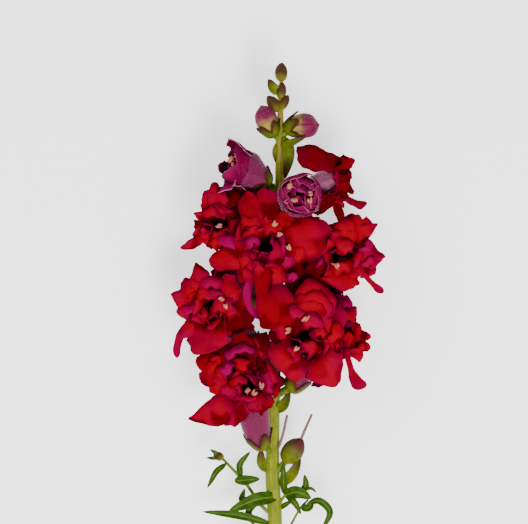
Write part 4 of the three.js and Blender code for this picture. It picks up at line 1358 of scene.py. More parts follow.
LOWER_RIGHT = Bloom(
    "lower_right", (6.2, 0.5, 36), 5.5, (13.5, 22, 50), (0.08, -0.05, 1), (12.5, 24, 52), spread=24,
    radius=7.6, seed=23,
    lobes=(
        Petal((-3.6, 4.6, 44), 12, 1.0, lean=45, frill=0.3, base=8, roll=1.8, cup=-0.2, crumple=0.8),
        loose(
            (27.6, 1.0, 45.5), 10, 0.84, lean=45, frill=0.3, base=6.5, roll=1.8, cup=-0.2, tint=0.4,
            crumple=0.5, round=0.58,
        ),
        loose((-5, 48, 50), 10.5, 1.05, base=5, frill=0.4, round=0.4, bow=3, tint=-0.4),
        Petal((19.5, 54, 50.5), 10, 1.05, base=6, frill=0.5, round=0.45, crumple=0.6, tint=0.05),
        Petal((30, 38, 47), 8.5, 1.0, tint=0.3),
        Petal((31, 20, 45), 7.5, 1.0, frill=1.2, tint=0.2),
        shadow_filler((-4.5, 25, 44), 5),
        Petal((9.5, 10, 48), 4.5, 0.7, lean=50, end=105, frill=0.3),
        shadow_filler((5, 51, 44), 7),
    ),
    inner=(
        fold((14.5, 17, 55), 5, lean=25, end=105, tint=0.0),
        fold((15.5, 42, 54.5), 6.5, lean=30, end=85, tint=0.0),
        fold((0.5, 29.5, 52), 3.6, lean=35, end=60),
        fold((23.5, 21, 53), 5.5, lean=45, end=90, tint=0.2),
        fold((5, 37, 53), 5, lean=40, end=90),
        fold((25, 32, 53), 5.5, lean=40, end=90, tint=0.2),
    ),
    ridges=(
        Ridge(((9, 18.5, 55), (14, 20.5, 57.5), (20.5, 18.5, 56)), 3.1, 0.0),
        Ridge(((5.5, 30.5, 55), (9, 33.5, 57.5), (13, 32.5, 57)), 2, 0.55),
        Ridge(((11, 26, 56), (15, 29.5, 58), (21, 27.5, 57)), 2.3, 0.5),
        Ridge(
            ((7.5, 35.5, 55), (11.5, 40, 56.5), (17, 41, 57), (22, 37.5, 56.5), (21.8, 31, 55)), 1.7,
            0.1,
        ),
        Ridge(((21.5, 21, 54), (25.5, 26, 55.5), (25, 32, 54.5)), 2, 0.15),
        Ridge(((4.5, 21, 53.5), (3, 26, 55), (4.5, 30.5, 54.5)), 1.8, 0.25),
        Ridge(((16, 23.5, 55), (19.5, 25, 56), (22, 23, 55)), 1.5, 0.3),
    ),
    anthers=((8.6, 18.8, 57), (4.8, 27, 55.6), (12.6, 32, 58.2)),
)
LEFT = Bloom(
    "left", (-8, 17, 33), 5, (-30.5, 36, 42), (-0.42, 0, 0.9), (-33, 35, 41), spread=20, radius=7,
    seed=37, dim=0.75,
    lobes=(
        Petal((-38.3, 58, 39), 5.5, 0.4, round=0.3),
        Petal((-45.5, 49, 38), 7.5, 1.0, frill=1.2),
        Petal((-49, 43, 38), 5, 0.4, round=0.3),
        Petal((-46.4, 35.5, 38), 4.5, tint=0.5),
        Petal((-33.5, 11.6, 46), 11.2, 0.9, base=8.5, frill=0.4, roll=1.6, cup=-0.16, crumple=0.3),
        Petal((-43, 24, 40), 5.5),
        Petal((-13, 43, 45), 9.5, 1.0, end=95, base=5, frill=0.4, cup=-0.2),
        Petal((-15.5, 27, 41), 7, tint=0.8),
        shadow_filler((-11, 26.5, 40.5), 5),
        Petal((-30, 51, 43), 6.5, 1.0),
        Petal((-19.5, 50.5, 43), 8, 1.0),
        shadow_filler((-11, 31.5, 43), 4.6, 0.9),
        strap((-47, 14, 36), 2.2, 0.9, bow=-4.2, free=True),
    ),
    inner=(
        fold((-25.5, 34.5, 46.5), 5.5, lean=20, end=95, tint=0.0),
        fold((-39, 38, 45), 6, lean=40, end=90, tint=0.2),
        fold((-35, 44, 45), 5.5, lean=40, end=90),
        fold((-35, 31.5, 46), 4.5, lean=30, end=90),
    ),
    ridges=(
        Ridge(((-32, 34.5, 46.5), (-27, 36.5, 49), (-22, 34, 48)), 2.5, 0.0),
        Ridge(((-43.5, 31.5, 42), (-41, 35, 44.5), (-38, 37.5, 45.5)), 1.9, 0.75),
        Ridge(((-37, 43.5, 45), (-31.5, 47.5, 47), (-26.5, 45, 47.5)), 2.1, 0.55),
        Ridge(((-38.5, 39.5, 45), (-34, 42, 47), (-28.5, 40.5, 48)), 2, 0.0),
        Ridge(((-36, 29, 44), (-33.5, 33, 46.5), (-34.5, 37, 46.5)), 1.5, 0.0),
        Ridge(((-43, 40, 42), (-41, 44, 43.5), (-37, 47.5, 44)), 1.8, 0.2),
    ),
    anthers=((-25.8, 41, 49.6), (-24, 37.8, 49.6)),
)
MIDDLE = Bloom(
    "middle", (-2.6, 44, 37.5), 5.5, (-5.5, 65, 54), (-0.05, 0.05, 1), (-2, 67, 53), spread=20,
    radius=7.4, seed=41, backs=0, dim=0.75,
    lobes=(
        loose((-15.5, 89.5, 45.5), 5.8, 1.15, round=0.35, frill=1.0, crumple=1.1),
        loose((-5.2, 92, 46.5), 6.2, 1.15, round=0.35, frill=1.0, crumple=1.1),
        loose((-12, 95, 38), 9.5, 1.0, lean=100, end=100, sink=7, crumple=0.8, tint=-0.9),
        Petal((12, 82, 48), 8, 1.0, base=5),
        loose(
            (25.8, 71.5, 49.5), 11.2, 1.05, base=6, frill=0.4, roll=2.0, round=0.45, cup=-0.2,
            crumple=0.8,
        ),
        loose((-31.8, 57.2, 44), 6.8, 1.05, base=5, frill=0.4, roll=1.6, cup=-0.2, crumple=1.0),
        Petal((-21.5, 78, 49), 8, 1.0),
        loose((-8, 38.5, 50), 4, 0.8, frill=0.3, tint=-0.55),
        Petal((-14, 48, 48), 6.5, tint=0.1),
        Petal((3, 50, 48), 6.5, tint=-0.2),
        shadow_filler((12.5, 47, 43), 7.5),
        loose((-18, 49.5, 44), 6.5, tint=-0.5),
        loose(
            (-9.2, 31.8, 45), 2.0, 1.1, lean=100, end=100, sink=8, ring=0.9, base=1.4, frill=0.3,
            round=0.1, roll=0.2, crumple=0.4, tint=1.6, bow=-6.5,
        ),
        loose((-27.4, 68, 50), 3.6, 1.0, lean=60, end=95, tint=1.3, frill=0.5, crumple=0.6),
    ),
    inner=(
        fold((-2, 54, 56), 5.5, lean=45, end=100),
        fold((-15, 56, 55), 5.5, lean=50, end=95, tint=0.2),
        fold((-14.5, 72, 56), 6, lean=45, end=90),
        fold((5, 70, 57), 6, lean=45, end=95),
        fold((-5, 74, 57), 5, lean=40, end=90, tint=0.0),
        fold((1, 64, 56.5), 4.5, lean=5, end=70, tint=0.0),
        fold((-7, 62, 56.5), 4.5, lean=5, end=70, tint=0.2),
    ),
    ridges=(
        Ridge(((-13.5, 63.5, 58), (-11, 67, 58.3), (-8, 65.5, 57.5)), 1.6, 0.85),
        Ridge(((0.5, 55.5, 57), (3.8, 59.5, 58), (4.5, 64, 57.5)), 2, 0.7),
        Ridge(((2.5, 52.5, 55), (7.5, 52, 56.5), (10.5, 49.5, 54.5)), 1.8, 0.95),
        Ridge(((-7, 70, 58), (-2.5, 72.8, 58.3), (2.5, 71, 57.5)), 2.1, 0.1),
        Ridge(((-5, 59.5, 58), (-2, 63, 58.3), (-2, 68.5, 58)), 1.9, 0.0),
        Ridge(((-12.5, 59, 57), (-8.5, 56.5, 58.5), (-5.5, 51, 57)), 2, 0.1),
        Ridge(((-19, 54.5, 54), (-14.5, 58, 57), (-13.5, 62.5, 57.5)), 2.1, 0.1),
        Ridge(((-4, 57.5, 57.5), (-1.5, 53, 58), (-3, 47, 56)), 2.5, 0.0),
        Ridge(((-18, 73, 56), (-13.5, 75.5, 57.5), (-8, 75, 58)), 2, 0.0),
        Ridge(((6, 66, 58), (8.5, 62, 58), (7, 57.5, 57)), 1.9, 0.0),
    ),
    anthers=((0.4, 70.6, 58.6), (4.6, 65, 58.2), (-1.4, 75.4, 57.8)),
)
RIGHT = Bloom(
    "right", (7.2, 44, 36), 5, (29.5, 62, 42), (0.42, 0, 0.9), (38, 61, 41), spread=19, radius=7,
    seed=53, dim=0.85,
    lobes=(
        Petal((35.5, 80.6, 40), 5.5, 1.0),
        Petal((42.5, 78.5, 38), 4.5, 0.9, frill=1.2),
        loose((47.2, 76, 37), 3.8, 0.35, bow=1.5),
        Petal((49.2, 60.5, 37), 6.5, 0.6, frill=1.1, tint=0.5),
        loose((46, 53, 38), 6, 0.8, frill=0.9, tint=0.4),
        Petal((44.5, 67, 37), 3, 0.8, frill=0.9, tint=0.3),
        Petal(
            (29.5, 44, 46.5), 9.5, 1.0, frill=0.4, base=7.5, roll=1.6, cup=-0.16, crumple=0.3, tint=0.1,
        ),
        Petal((36, 50, 42), 5.5, tint=0.2),
        loose((9.5, 58, 41), 7.5, tint=-0.8),
        shadow_filler((12.5, 49, 44), 8, lean=55),
        loose((17, 72.5, 43), 7.5, tint=-0.2),
        strap((48.6, 43.8, 36), 1.2, 1.7, bow=-0.8),
        strap((27.5, 88, 34), 2.4, 1, free=True, tint=0.0),
    ),
    inner=(
        fold((26.5, 54.5, 47.5), 6, lean=25, end=110, tint=0.0),
        fold((34, 66, 46.5), 5.5, lean=45, tint=0.2),
        fold((30, 71, 46.5), 5.5, lean=35, end=80),
        fold((38.5, 60, 45), 5.5, lean=45, end=90, tint=0.4),
    ),
    ridges=(
        Ridge(((28.5, 59.5, 47.5), (32, 63.5, 50), (36, 66.5, 48)), 2.8, 0.4),
        Ridge(((18, 54, 45.5), (19.5, 57.5, 47.5), (22, 59.5, 47.5)), 1.7, 1.0),
        Ridge(((23, 57, 48), (28.5, 56.5, 50), (35, 58.5, 48.5)), 2.2, 0.0),
        Ridge(((37, 62, 45.5), (41, 65.5, 45), (42.5, 70, 42.5)), 1.9, 0.7),
        Ridge(((26, 70, 45.5), (31, 73.5, 47), (37, 71.5, 45)), 2, 0.0),
        Ridge(((23.5, 64, 47), (26.5, 68.5, 48), (26.5, 74, 45)), 1.9, 0.0),
        Ridge(((38, 56, 44.5), (42, 59, 44), (46, 61, 41)), 1.7, 0.6),
    ),
    anthers=((27, 56.2, 50.8),),
)
UPPER_LEFT = Bloom(
    "upper_left", (-7, 57, 36), 5, (-28.5, 76, 42), (-0.42, 0.06, 0.9), (-32, 79, 42), spread=17,
    radius=6.6, seed=67, ruffles=(3, 2), backs=0,
    lobes=(
        loose((-29.4, 95.2, 41), 2.8, 1.1, round=0.3, frill=0.3),
        Petal((-33.4, 91, 40.5), 4.6, 1.0, crumple=1.1),
        Petal((-27, 91.5, 41), 5.5, 1.0, frill=0.6, crumple=1.1),
        Petal((-38.2, 80, 38), 2.4, 0.5, frill=0.9),
        Petal((-39.6, 70.2, 38), 1.9, 0.7, tint=0.4),
        Petal((-45.4, 64.2, 37), 2.4, 0.6, base=3.4, round=0.25, bow=2.0, frill=0.3),
        Petal((-21, 95, 38), 8.5, lean=60, tint=-1),
        shadow_filler((-17, 84, 40.5), 9),
        Petal((-27, 63, 43), 7.5),
        shadow_filler((-15, 76, 41), 7.5, lean=70),
        Petal((-15, 68, 46), 8, end=80, tint=0.2),
    ),
    inner=(
        fold((-29, 84, 46), 6, lean=40, end=80),
        fold((-27, 70.5, 46.5), 5, lean=30, end=90, tint=0.0),
        fold((-33, 78.5, 44.5), 3.2, lean=35, end=90),
    ),
    ridges=(
        Ridge(((-36, 78.2, 43), (-31.5, 79.6, 46.5), (-26, 79, 46.5)), 1.8, 0.0),
        Ridge(((-31, 71, 45.5), (-27, 71.2, 47), (-24, 73.5, 46.5)), 1.6, 0.0),
        Ridge(((-36.5, 71.5, 41), (-34.5, 73, 43.5), (-33, 71.5, 44.5)), 1.2, 0.5),
        Ridge(((-33, 66.5, 43), (-28, 68, 46), (-24, 67, 47)), 1.7, 0.1),
    ),
    anthers=((-26.8, 74.6, 48),),
)
UPPER_RIGHT = Bloom(
    "upper_right", (7.8, 84, 31), 5, (28.5, 96.5, 36), (0.9, 0.1, 0.35), (25, 97, 37), spread=13,
    radius=6, seed=71, ruffles=(3, 2), backs=0, down=2.3, dim=-0.6,
    lobes=(
        loose((8.4, 108.4, 45), 7.4, 1.15, lean=50, end=170, base=5, frill=0.5, round=0.4, tint=-0.7),
        Petal((23.5, 105.5, 41), 5, 1.0, end=150, tint=-0.6),
        Petal((35.6, 105.2, 34), 4.8, 1.0, lean=20, end=60, tint=-0.5),
        Petal((31.5, 88, 38), 7, 1.0, end=120, tint=-0.9),
        Petal((22.5, 83, 37), 5.5, end=150, tint=-0.7),
        Petal((33.4, 96, 33), 6, 1.0, tint=-0.9),
        loose((17.5, 79.5, 37.5), 7, 1.0, lean=60, tint=-0.9),
        loose((30.5, 83, 36), 4.5, 1.0, lean=60, tint=0.2),
        loose(
            (41, 84.4, 33), 3.0, 1.3, lean=95, end=15, frill=0.35, base=1.8, round=0.1, crumple=0.4,
            ring=0.8, roll=0.2, tint=0.5,
        ),
    ),
    ridges=(
        Ridge(((30, 88, 42), (32.5, 93.5, 42), (31, 99.5, 42)), 2.4, -0.7),
        Ridge(((26.5, 103.5, 43), (30, 102, 43), (33.5, 104.5, 39)), 1.9, -0.6),
    ),
)
FAR_RIGHT = Bloom(
    "far_right", (7.6, 5, 29), 5, (29, 27, 37), (0.6, -0.05, 0.8), (33.5, 24, 36), spread=17, radius=6.6,
    seed=83,
    lobes=(
        Petal((29, 44.5, 36), 6.5, 1.0, frill=1.1, tint=0.7),
        Petal((34.5, 37.5, 35), 4.6, frill=1.1, tint=0.8),
        Petal((34.4, 29, 34), 3.6, tint=0.1),
        Petal((43.2, 23, 35), 2.4, 1.0, frill=0.5, tint=0.4),
        Petal((42.8, 17, 35), 2.8, 1.0, frill=0.6, tint=0.4),
        Petal((38.5, 11.2, 36), 3.4, 0.5, tint=0.3),
        Petal((33, 14.6, 39), 7.5, 1.0, tint=0.1),
        strap((39.2, -0.6, 35), 1.7, 2.6, bow=-3.6, free=True),
    ),
    inner=(
        fold((30, 21, 43), 5.5, lean=35, end=90),
        fold((30, 33, 42), 5, lean=35, end=90, tint=0.3),
    ),
    ridges=(
        Ridge(((26.5, 35, 43), (30.5, 38.5, 43), (35, 37.5, 40)), 2.1, 0.9),
        Ridge(((29, 30, 43.5), (33.5, 32, 43), (37, 29.5, 39.5)), 1.9, 0.3),
        Ridge(((27, 21.5, 43.5), (32, 24.5, 43.5), (37, 22, 40.5)), 2.5, 0.1),
        Ridge(((34, 16.5, 41), (38.5, 19, 39), (41, 22, 36.5)), 1.6, 0.4),
    ),
)
UNDER_1 = Bloom(
    "under_1", (-7.5, -6, 22), 4, (-22, 12, 11), (-0.75, 0.2, -0.5), (-25, 11, 12), spread=17, radius=6,
    seed=97, first=-90,
)
UNDER_2 = Bloom(
    "under_2", (5.5, 0, 23), 4, (21, 14, 10.5), (0.75, 0.1, -0.5), (24, 12, 12), spread=17, radius=6,
    seed=101, first=90, reach=13,
)
UNDER_3 = Bloom(
    "under_3", (-8, 36, 25), 4, (-22, 53, 11), (-0.75, 0.2, -0.5), (-25, 54, 13), spread=17, radius=6,
    seed=103, first=-90,
)
UNDER_4 = Bloom(
    "under_4", (7, 26, 24.5), 4, (22, 42, 10.5), (0.75, 0.2, -0.5), (25, 43, 13), spread=17, radius=6,
    seed=107, first=90,
)
UNDER_5 = Bloom(
    "under_5", (2, 63, 25.5), 4, (4, 81, 13), (0.1, 0.35, -0.85), (4, 82, 13), spread=17, radius=6,
    seed=109, first=0,
)
OPENING_LEFT = Bloom(
    "left", (-4.6, 94.2, 36.5), 4, (-19.5, 101.6, 40), (-0.9, 0.2, 0.38), (-19, 103, 41), spread=8.5,
    radius=8.2, seed=113, belly=8.8, ruffles=(0, 3), sepal=0.62,
    lobes=(
        bud_wrap((-21.8, 115, 42), 8.5, 0.9, end=-5),
        bud_wrap((-20, 108, 48.8), 8.5, 0.9, end=-30),
        bud_wrap((-25.5, 97.5, 47.5), 8.5, 0.9, end=-15),
        bud_petal((-27.6, 101.4, 40), 5, 0.7, end=0),
        loose(
            (-27.5, 89.5, 44), 7.5, 1.0, lean=15, end=50, base=6, tint=1.0, roll=0.3, frill=0.4,
            crumple=0.7,
        ),
        loose((-18.5, 87.5, 38), 8, 1.0, lean=15, end=60, base=6, tint=-0.8, roll=0.3),
        bud_wrap((-22, 104, 31), 7, end=-20),
    ),
    anthers=((-21.8, 105.2, 46), (-20.6, 102.6, 46.5), (-18.8, 106, 47.5)),
)
OPENING_FRONT = Bloom(
    "front", (4.6, 82.5, 38.5), 4, (10.3, 88.6, 53), (0.03, 0.05, 1), (10.3, 88.6, 52), spread=15,
    radius=9, seed=127, belly=9.8, ruffles=(0, 0),
    lobes=(
        bud_wrap((8, 96, 56), 8),
        bud_wrap((17.3, 90.5, 56), 7.5),
        bud_wrap((11, 81, 56), 8),
        bud_wrap((3.5, 86.5, 56), 7),
        bud_petal((12.4, 92.8, 57), 7.5, end=-80),
        bud_petal((6.6, 91.8, 56.6), 5.5, end=-80),
        bud_petal((5.6, 86.4, 57), 6.5, end=-80),
        bud_petal((11, 83.6, 56.6), 7, end=-80),
        bud_petal((16, 87.2, 56.8), 6.5, end=-80),
    ),
    inner=(
        fold((10.8, 90.4, 55.4), 6.5, lean=10, end=-95),
        fold((12.2, 88.2, 55), 6.5, lean=10, end=-95, tint=0.2),
        fold((9.8, 86.8, 55.2), 6.5, lean=10, end=-95),
        fold((8.6, 89.4, 54.8), 6.5, lean=10, end=-95, tint=0.2),
    ),
    ridges=(
        Ridge(((7.8, 89.8, 56), (10.5, 90.4, 56.6), (13, 89.6, 56)), 0.8, 0.9, 3),
        Ridge(((11.5, 84.5, 55.4), (10.4, 87, 56), (11.2, 89, 55.6)), 1.1, 0.3, 3),
    ),
    anthers=((5.4, 92.5, 57.5), (7.6, 86.3, 57.5), (14.4, 85.6, 58), (14.8, 89.2, 57.5)),
)
CLOSED_RIGHT = Bloom(
    "right", (4.5, 118.3, 35.6), 3, (19.2, 121.2, 37), (14.3, 2.7, 1.4), (0, 0, 0), spread=0, radius=0,
    seed=131, belly=5.9, sepal=0.8,
)
CLOSED_LEFT = Bloom(
    "left", (-1.6, 117, 35.4), 3, (-7.8, 130.2, 36.6), (-5.8, 12.8, 1.2), (0, 0, 0), spread=0, radius=0,
    seed=137, belly=5.2, sepal=0.75,
)
BLOOMS = [
    LOWER_LEFT, LOWER_RIGHT, LEFT, MIDDLE, RIGHT, UPPER_LEFT, UPPER_RIGHT, FAR_RIGHT, UNDER_1, UNDER_2,
    UNDER_3, UNDER_4, UNDER_5,
]
OPENING = [OPENING_LEFT, OPENING_FRONT]
CLOSED = [CLOSED_RIGHT, CLOSED_LEFT]


@dataclass
class Palette:
    """The finished materials, made once."""

    petal: list[bpy.types.Material] = field(default_factory=list)
    bud: list[bpy.types.Material] = field(default_factory=list)
    plain: dict[str, bpy.types.Material] = field(default_factory=dict)

    def __post_init__(self) -> None:
        """Makes the materials."""
        self.petal = [finish.material() for finish in (RED_FACE, RED_BACK, RED_RIM)]
        self.bud = [finish.material() for finish in (MAUVE_FACE, MAUVE_BACK, MAUVE_RIM)]
        for finish in (
            TUBE_SKIN, TUBE_INSIDE, BUD_SKIN, CALYX_SKIN, LEAF_SKIN, SHOOT_SKIN, SEED_SKIN, STYLE_SKIN,
            ANTHER_SKIN, FILAMENT_SKIN, HAIR_SKIN, MAUVE_HAIR, SCALE_SKIN, StemFinish(),
        ):
            self.plain[finish.name] = finish.material()


@dataclass
class Down:
    """Short hairs on a skin: a seeded scatter of three-sided spikes."""

    name: str
    palette: Palette
    slot: Slot
    length: float = 0.9
    thick: float = 0.055
    seed: int = 5

    def __post_init__(self) -> None:
        """Starts the piece."""
        self.piece = Piece(self.name)
        self.draw = Stream(self.seed)

    def spike(self, foot: Array, out: Array) -> None:
        """Adds one hair.

        Args:
            foot: Where it stands.
            out: The direction out of the skin.
        """
        made = bmesh.ops.create_cone(
            self.piece.bm, cap_ends=True, segments=3, radius1=self.thick, radius2=0.0, depth=1.0
        )["verts"]
        lean = Vector(out + np.array([self.draw.between(-0.5, 0.5) for _ in range(3)]))
        turn = lean.to_track_quat("Z", "Y").to_matrix().to_4x4()
        size = Matrix.Diagonal((1.0, 1.0, self.length * self.draw.between(0.5, 1.2), 1.0))
        lift = Matrix.Translation((0.0, 0.0, 0.45))
        place = Matrix.Translation(Vector(foot)) @ turn @ size @ lift
        bmesh.ops.transform(self.piece.bm, matrix=place, verts=made)

    def cover(
        self, path: Path, radius: Callable[[float], float], span: tuple[float, float], count: int
    ) -> None:
        """Scatters hairs round a rod or tube.

        Args:
            path: Its middle line.
            radius: Gives the skin's radius at a distance along it.
            span: The first and last distance.
            count: Number of hairs.
        """
        for _ in range(count):
            distance = self.draw.between(*span)
            turn = self.draw.between(0.0, TURN)
            point, normal, across = path.at(np.array([distance]), SIDE)
            out = normal[0] * math.cos(turn) + across[0] * math.sin(turn)
            self.spike(point[0] + out * (radius(distance) - 0.05), out)

    def done(self) -> None:
        """Finishes the piece."""
        skin = "hair_skin" if self.slot is Slot.GREEN else "mauve_hair"
        self.piece.done([self.palette.plain[skin]], self.slot)


@dataclass
class Flower:
    """An open flower or opening bud: tube, lobes, inner petals and anthers."""

    bloom: Bloom
    palette: Palette
    steps: tuple[int, int] = (24, 18)
    inner_steps: tuple[int, int] = (16, 12)
    ridge_steps: tuple[int, int] = (16, 14)
    tube_sides: int = 40
    hairs: int = 420

    @property
    def opening(self) -> bool:
        """Returns whether it is a bud that is just opening."""
        return self.bloom.belly > 0.0

    @property
    def node(self) -> str:
        """Returns the node that the flower stands for."""
        return ("opening_bud_" if self.opening else "flower_") + self.bloom.name

    def build(self) -> None:
        """Builds the flower's pieces."""
        slot = Slot.MAUVE if self.opening else Slot.RED
        finishes = self.palette.bud if self.opening else self.palette.petal
        room = Room(self.bloom, BLOOMS + OPENING)
        draw = Stream(self.bloom.seed + PETAL_SEED)
        lobes = Piece(f"{self.node}_lobes")
        for petal in [*self.bloom.outer(), *([] if self.opening else self.bloom.behind())]:
            self.petal(lobes, petal, room, draw, self.steps)
        lobes.done(finishes, slot, PETAL_THICK, [self.node])
        inner = Piece(f"{self.node}_inner_petals")
        for petal in [*self.bloom.inner, *self.bloom.ruffle()]:
            self.petal(inner, petal, room, draw, self.inner_steps)
        for ridge in self.bloom.ridges:
            surface = RidgeSurface(self.bloom, ridge, room, draw)
            inner.sheet(surface, self.ridge_steps, ridge.tint, surface.shade)
        inner.done(finishes, slot, PETAL_THICK)
        self.tube(slot)
        if self.bloom.anthers:
            self.stamens()

    def petal(self, piece: Piece, petal: Petal, room: Room, draw: Stream, steps: tuple[int, int]) -> None:
        """Adds a petal to a piece, in its room and with a number of faces along and across."""
        surface = PetalSurface(self.bloom, petal, room, draw)
        piece.sheet(surface, steps, petal.tint, surface.shade)

    def tube(self, slot: Slot) -> None:
        """Builds the tube, open at its mouth, and its hairs.

        Args:
            slot: The record's slot of the flower.
        """
        bloom = self.bloom
        path = bloom.tube
        ring = np.linspace(TUBE_SEAT, path.length, 18)
        profile = [(TUBE_SEAT, 0.0), *zip(ring, bloom.skin(ring, path.length))]

        def shape(distance: Array, radius: Array, angle: Array) -> Array:
            """Returns points of the tube, with five shallow furrows."""
            furrow = 1.0 - 0.03 * (0.5 - 0.5 * np.sin(5.0 * angle)) * smooth(distance / CALYX_DEEP)
            return path.round(distance, radius * furrow, angle, bloom.right)

        piece = Piece(f"{self.node}_tube")
        # The tube's tint is its dim: painted shade, and below 0 painted light.
        piece.lathe(profile, self.tube_sides, shape, bloom.dim)
        inside = self.palette.plain["tube_inside"]
        piece.done([self.palette.plain["tube_skin"], inside, inside], slot, TUBE_THICK)
        down = Down(f"{self.node}_down", self.palette, slot, 0.8 * bloom.down, seed=bloom.seed)
        span = (CALYX_DEEP, path.length - 0.5)
        count = round(self.hairs * bloom.down * (1.0 - bloom.dim))
        down.cover(path, lambda s: bloom.skin_at(s, path.length) + TUBE_THICK / 2.0, span, count)
        down.done()

    def stamens(self) -> None:
        """Builds the filaments and anthers in the mouth."""
        bloom = self.bloom
        draw = Stream(bloom.seed + STAMEN_SEED)
        heads = Piece(f"{self.node}_anthers")
        stalks = Piece(f"{self.node}_filaments")
        for place in bloom.anthers:
            tip = np.array(place, float)
            right, up = bloom.right * draw.between(-2, 2), bloom.up * draw.between(-2, 2)
            root = tip - bloom.out * 6.0 + right + up
            stalk = Path.bezier(root, root + bloom.out * 2.0, tip - bloom.out * 3.0, tip - bloom.out * 0.4)
            rod(stalks, stalk, 0.35, 0.3, 8, 12)
            right, up = bloom.right * draw.between(-1, 1), bloom.up * draw.between(-1, 1)
            lean = unit(right + up + bloom.out * 0.2)
            beside = unit(np.cross(lean, bloom.out))
            for side in (-1.0, 1.0):
                turned = unit(lean + beside * side * draw.between(0.0, 0.35))
                size, radius = draw.between(2.0, 3.8), draw.between(0.6, 0.9)
                foot = tip + beside * side * 0.5 - turned * size * draw.between(0.3, 0.7)
                egg(heads, foot, turned, size, radius, 12)
        heads.done([self.palette.plain["anther_skin"]], Slot.RED)
        stalks.done([self.palette.plain["filament_skin"]], Slot.RED)


def rod(piece: Piece, path: Path, first: float, last: float, sides: int, steps: int) -> None:
    """Adds a round rod to a piece.

    Args:
        piece: The piece.
        path: The rod's middle line.
        first: Its radius at the start.
        last: Its radius at the end.
        sides: Number of faces round.
        steps: Number of faces along.
    """
    ring = np.linspace(0.0, path.length, steps)
    radii = np.linspace(first, last, steps)
    cap = [(path.length + 0.4 * last, 0.6 * last), (path.length + 0.6 * last, 0.0)]
    piece.lathe([(0.0, 0.0), *zip(ring, radii), *cap], sides, path.round)


def egg(
    piece: Piece, foot: Array, direction: Array, length: float, radius: float, sides: int,
    ribs: int = 0,
) -> None:
    """Adds an egg-shaped body to a piece.

    Args:
        piece: The piece.
        foot: Its lower end.
        direction: Where it points.
        length: Its length.
        radius: Its largest radius.
        sides: Number of faces round.
        ribs: Number of folds round it.
    """
    share = np.array((0.0, 0.02, 0.1, 0.25, 0.4, 0.55, 0.7, 0.82, 0.92, 0.98, 1.0))
    wide = np.array((0.0, 0.45, 0.7, 0.9, 0.98, 0.98, 0.86, 0.66, 0.4, 0.18, 0.0))
    towards = unit(np.array(direction, float))
    path = Path(np.array(foot, float) + np.linspace(0.0, length, 9)[:, None] * towards)

    def shape(distance: Array, turned: Array, angle: Array) -> Array:
        """Returns points of the body, folded in between its ribs."""
        crease = 0.09 * np.abs(np.sin(0.5 * ribs * (angle + 0.04 * distance)))
        return path.round(distance, turned * (1.0 - crease), angle)

    piece.lathe(list(zip(share * length, wide * radius)), sides, shape)


# ---------------------------------------------------------------- green parts
LeafData = tuple[list[Point], float]
SHOOT_LEAVES: list[LeafData] = [
    ([(0, -51, 21), (-10, -52.2, 26), (-22.5, -57.5, 24)], 3.2),
    ([(-3, -64, 17), (-18, -59.8, 21), (-34.8, -58.2, 19)], 1.9),
    ([(-9, -53.5, 18), (-13.5, -58, 18), (-11, -65, 14)], 1.6),
    ([(-10.5, -52, 19), (-16.5, -52.5, 21), (-15.4, -47.2, 23)], 1.6),
    ([(-20, -43.6, 21), (-14, -43.2, 23), (-8.4, -42.6, 24)], 2.3),
    ([(-17, -42, 21), (-17.6, -36, 25), (-12.8, -29.8, 26)], 1.5),
    ([(-24, -35.6, 22), (-28.4, -39.2, 25), (-32.6, -46.8, 23)], 1.4),
    ([(-26.5, -32.5, 22.5), (-29, -30.5, 24), (-31.3, -29, 24)], 1),
    ([(-26.5, -32.5, 22.5), (-29, -33, 23), (-33, -33, 22)], 0.9),
    ([(3.2, -50, 20), (2.6, -43, 25), (2.6, -35, 27)], 1.7),
    ([(3.4, -50.6, 20), (9, -48.8, 25), (15.4, -51.6, 23)], 3.0),
    ([(3.4, -50, 20), (8, -54, 22), (10.7, -59.2, 20)], 1.5),
    ([(1, -57, 17), (4, -54.5, 20), (7.5, -53, 20)], 1.2),
    ([(11.4, -48, 22), (13, -45.5, 24), (12.4, -40.6, 25)], 1.5),
    ([(11.4, -48, 22), (15.2, -47, 24), (17.9, -48.9, 23)], 0.8),
    ([(13.5, -55, 19), (19, -52.8, 23), (24.1, -57.6, 21), (20.8, -67, 14)], 1.7),
    ([(11, -56.4, 17), (14.5, -56, 20), (16.4, -52.5, 21)], 1.9),
]
STEM_LEAVES: list[LeafData] = [
    ([(-1.5, -80, 13), (-14, -74, 17), (-31, -79, 8)], 3.4),
    ([(-1.5, -92, 11), (12, -85, 15), (29, -90, 5)], 3.6),
    ([(-1.5, -112, 8), (-11, -101, 11), (-24, -96, 4)], 3.2),
    ([(-1.5, -126, 6), (9, -115, 9), (21, -108, 3)], 3),
]
BRACTS: list[LeafData] = [
    ([(-3, -39, 22), (-7.2, -35.5, 25), (-7.9, -28.3, 27)], 2.4),
    ([(0.6, -45.5, 21), (6.4, -40.6, 25), (10.6, -32.3, 27)], 2.6),
    ([(-0.8, -11.2, 26), (2.6, -8, 30), (5.6, -1.8, 33)], 2.5),
    ([(2.2, 115.5, 36), (5.0, 110.5, 38), (3.4, 96.5, 36)], 2.6),
    ([(-0.6, 113, 35), (-1.6, 109, 36), (-1.2, 104, 35)], 1.0),
    ([(1, 110, 34), (6, 112.8, 40), (13, 115.6, 42)], 1.8),
    ([(0.8, 136, 35), (-1.8, 138, 36.5), (-4.4, 142.2, 37)], 2.4),
]
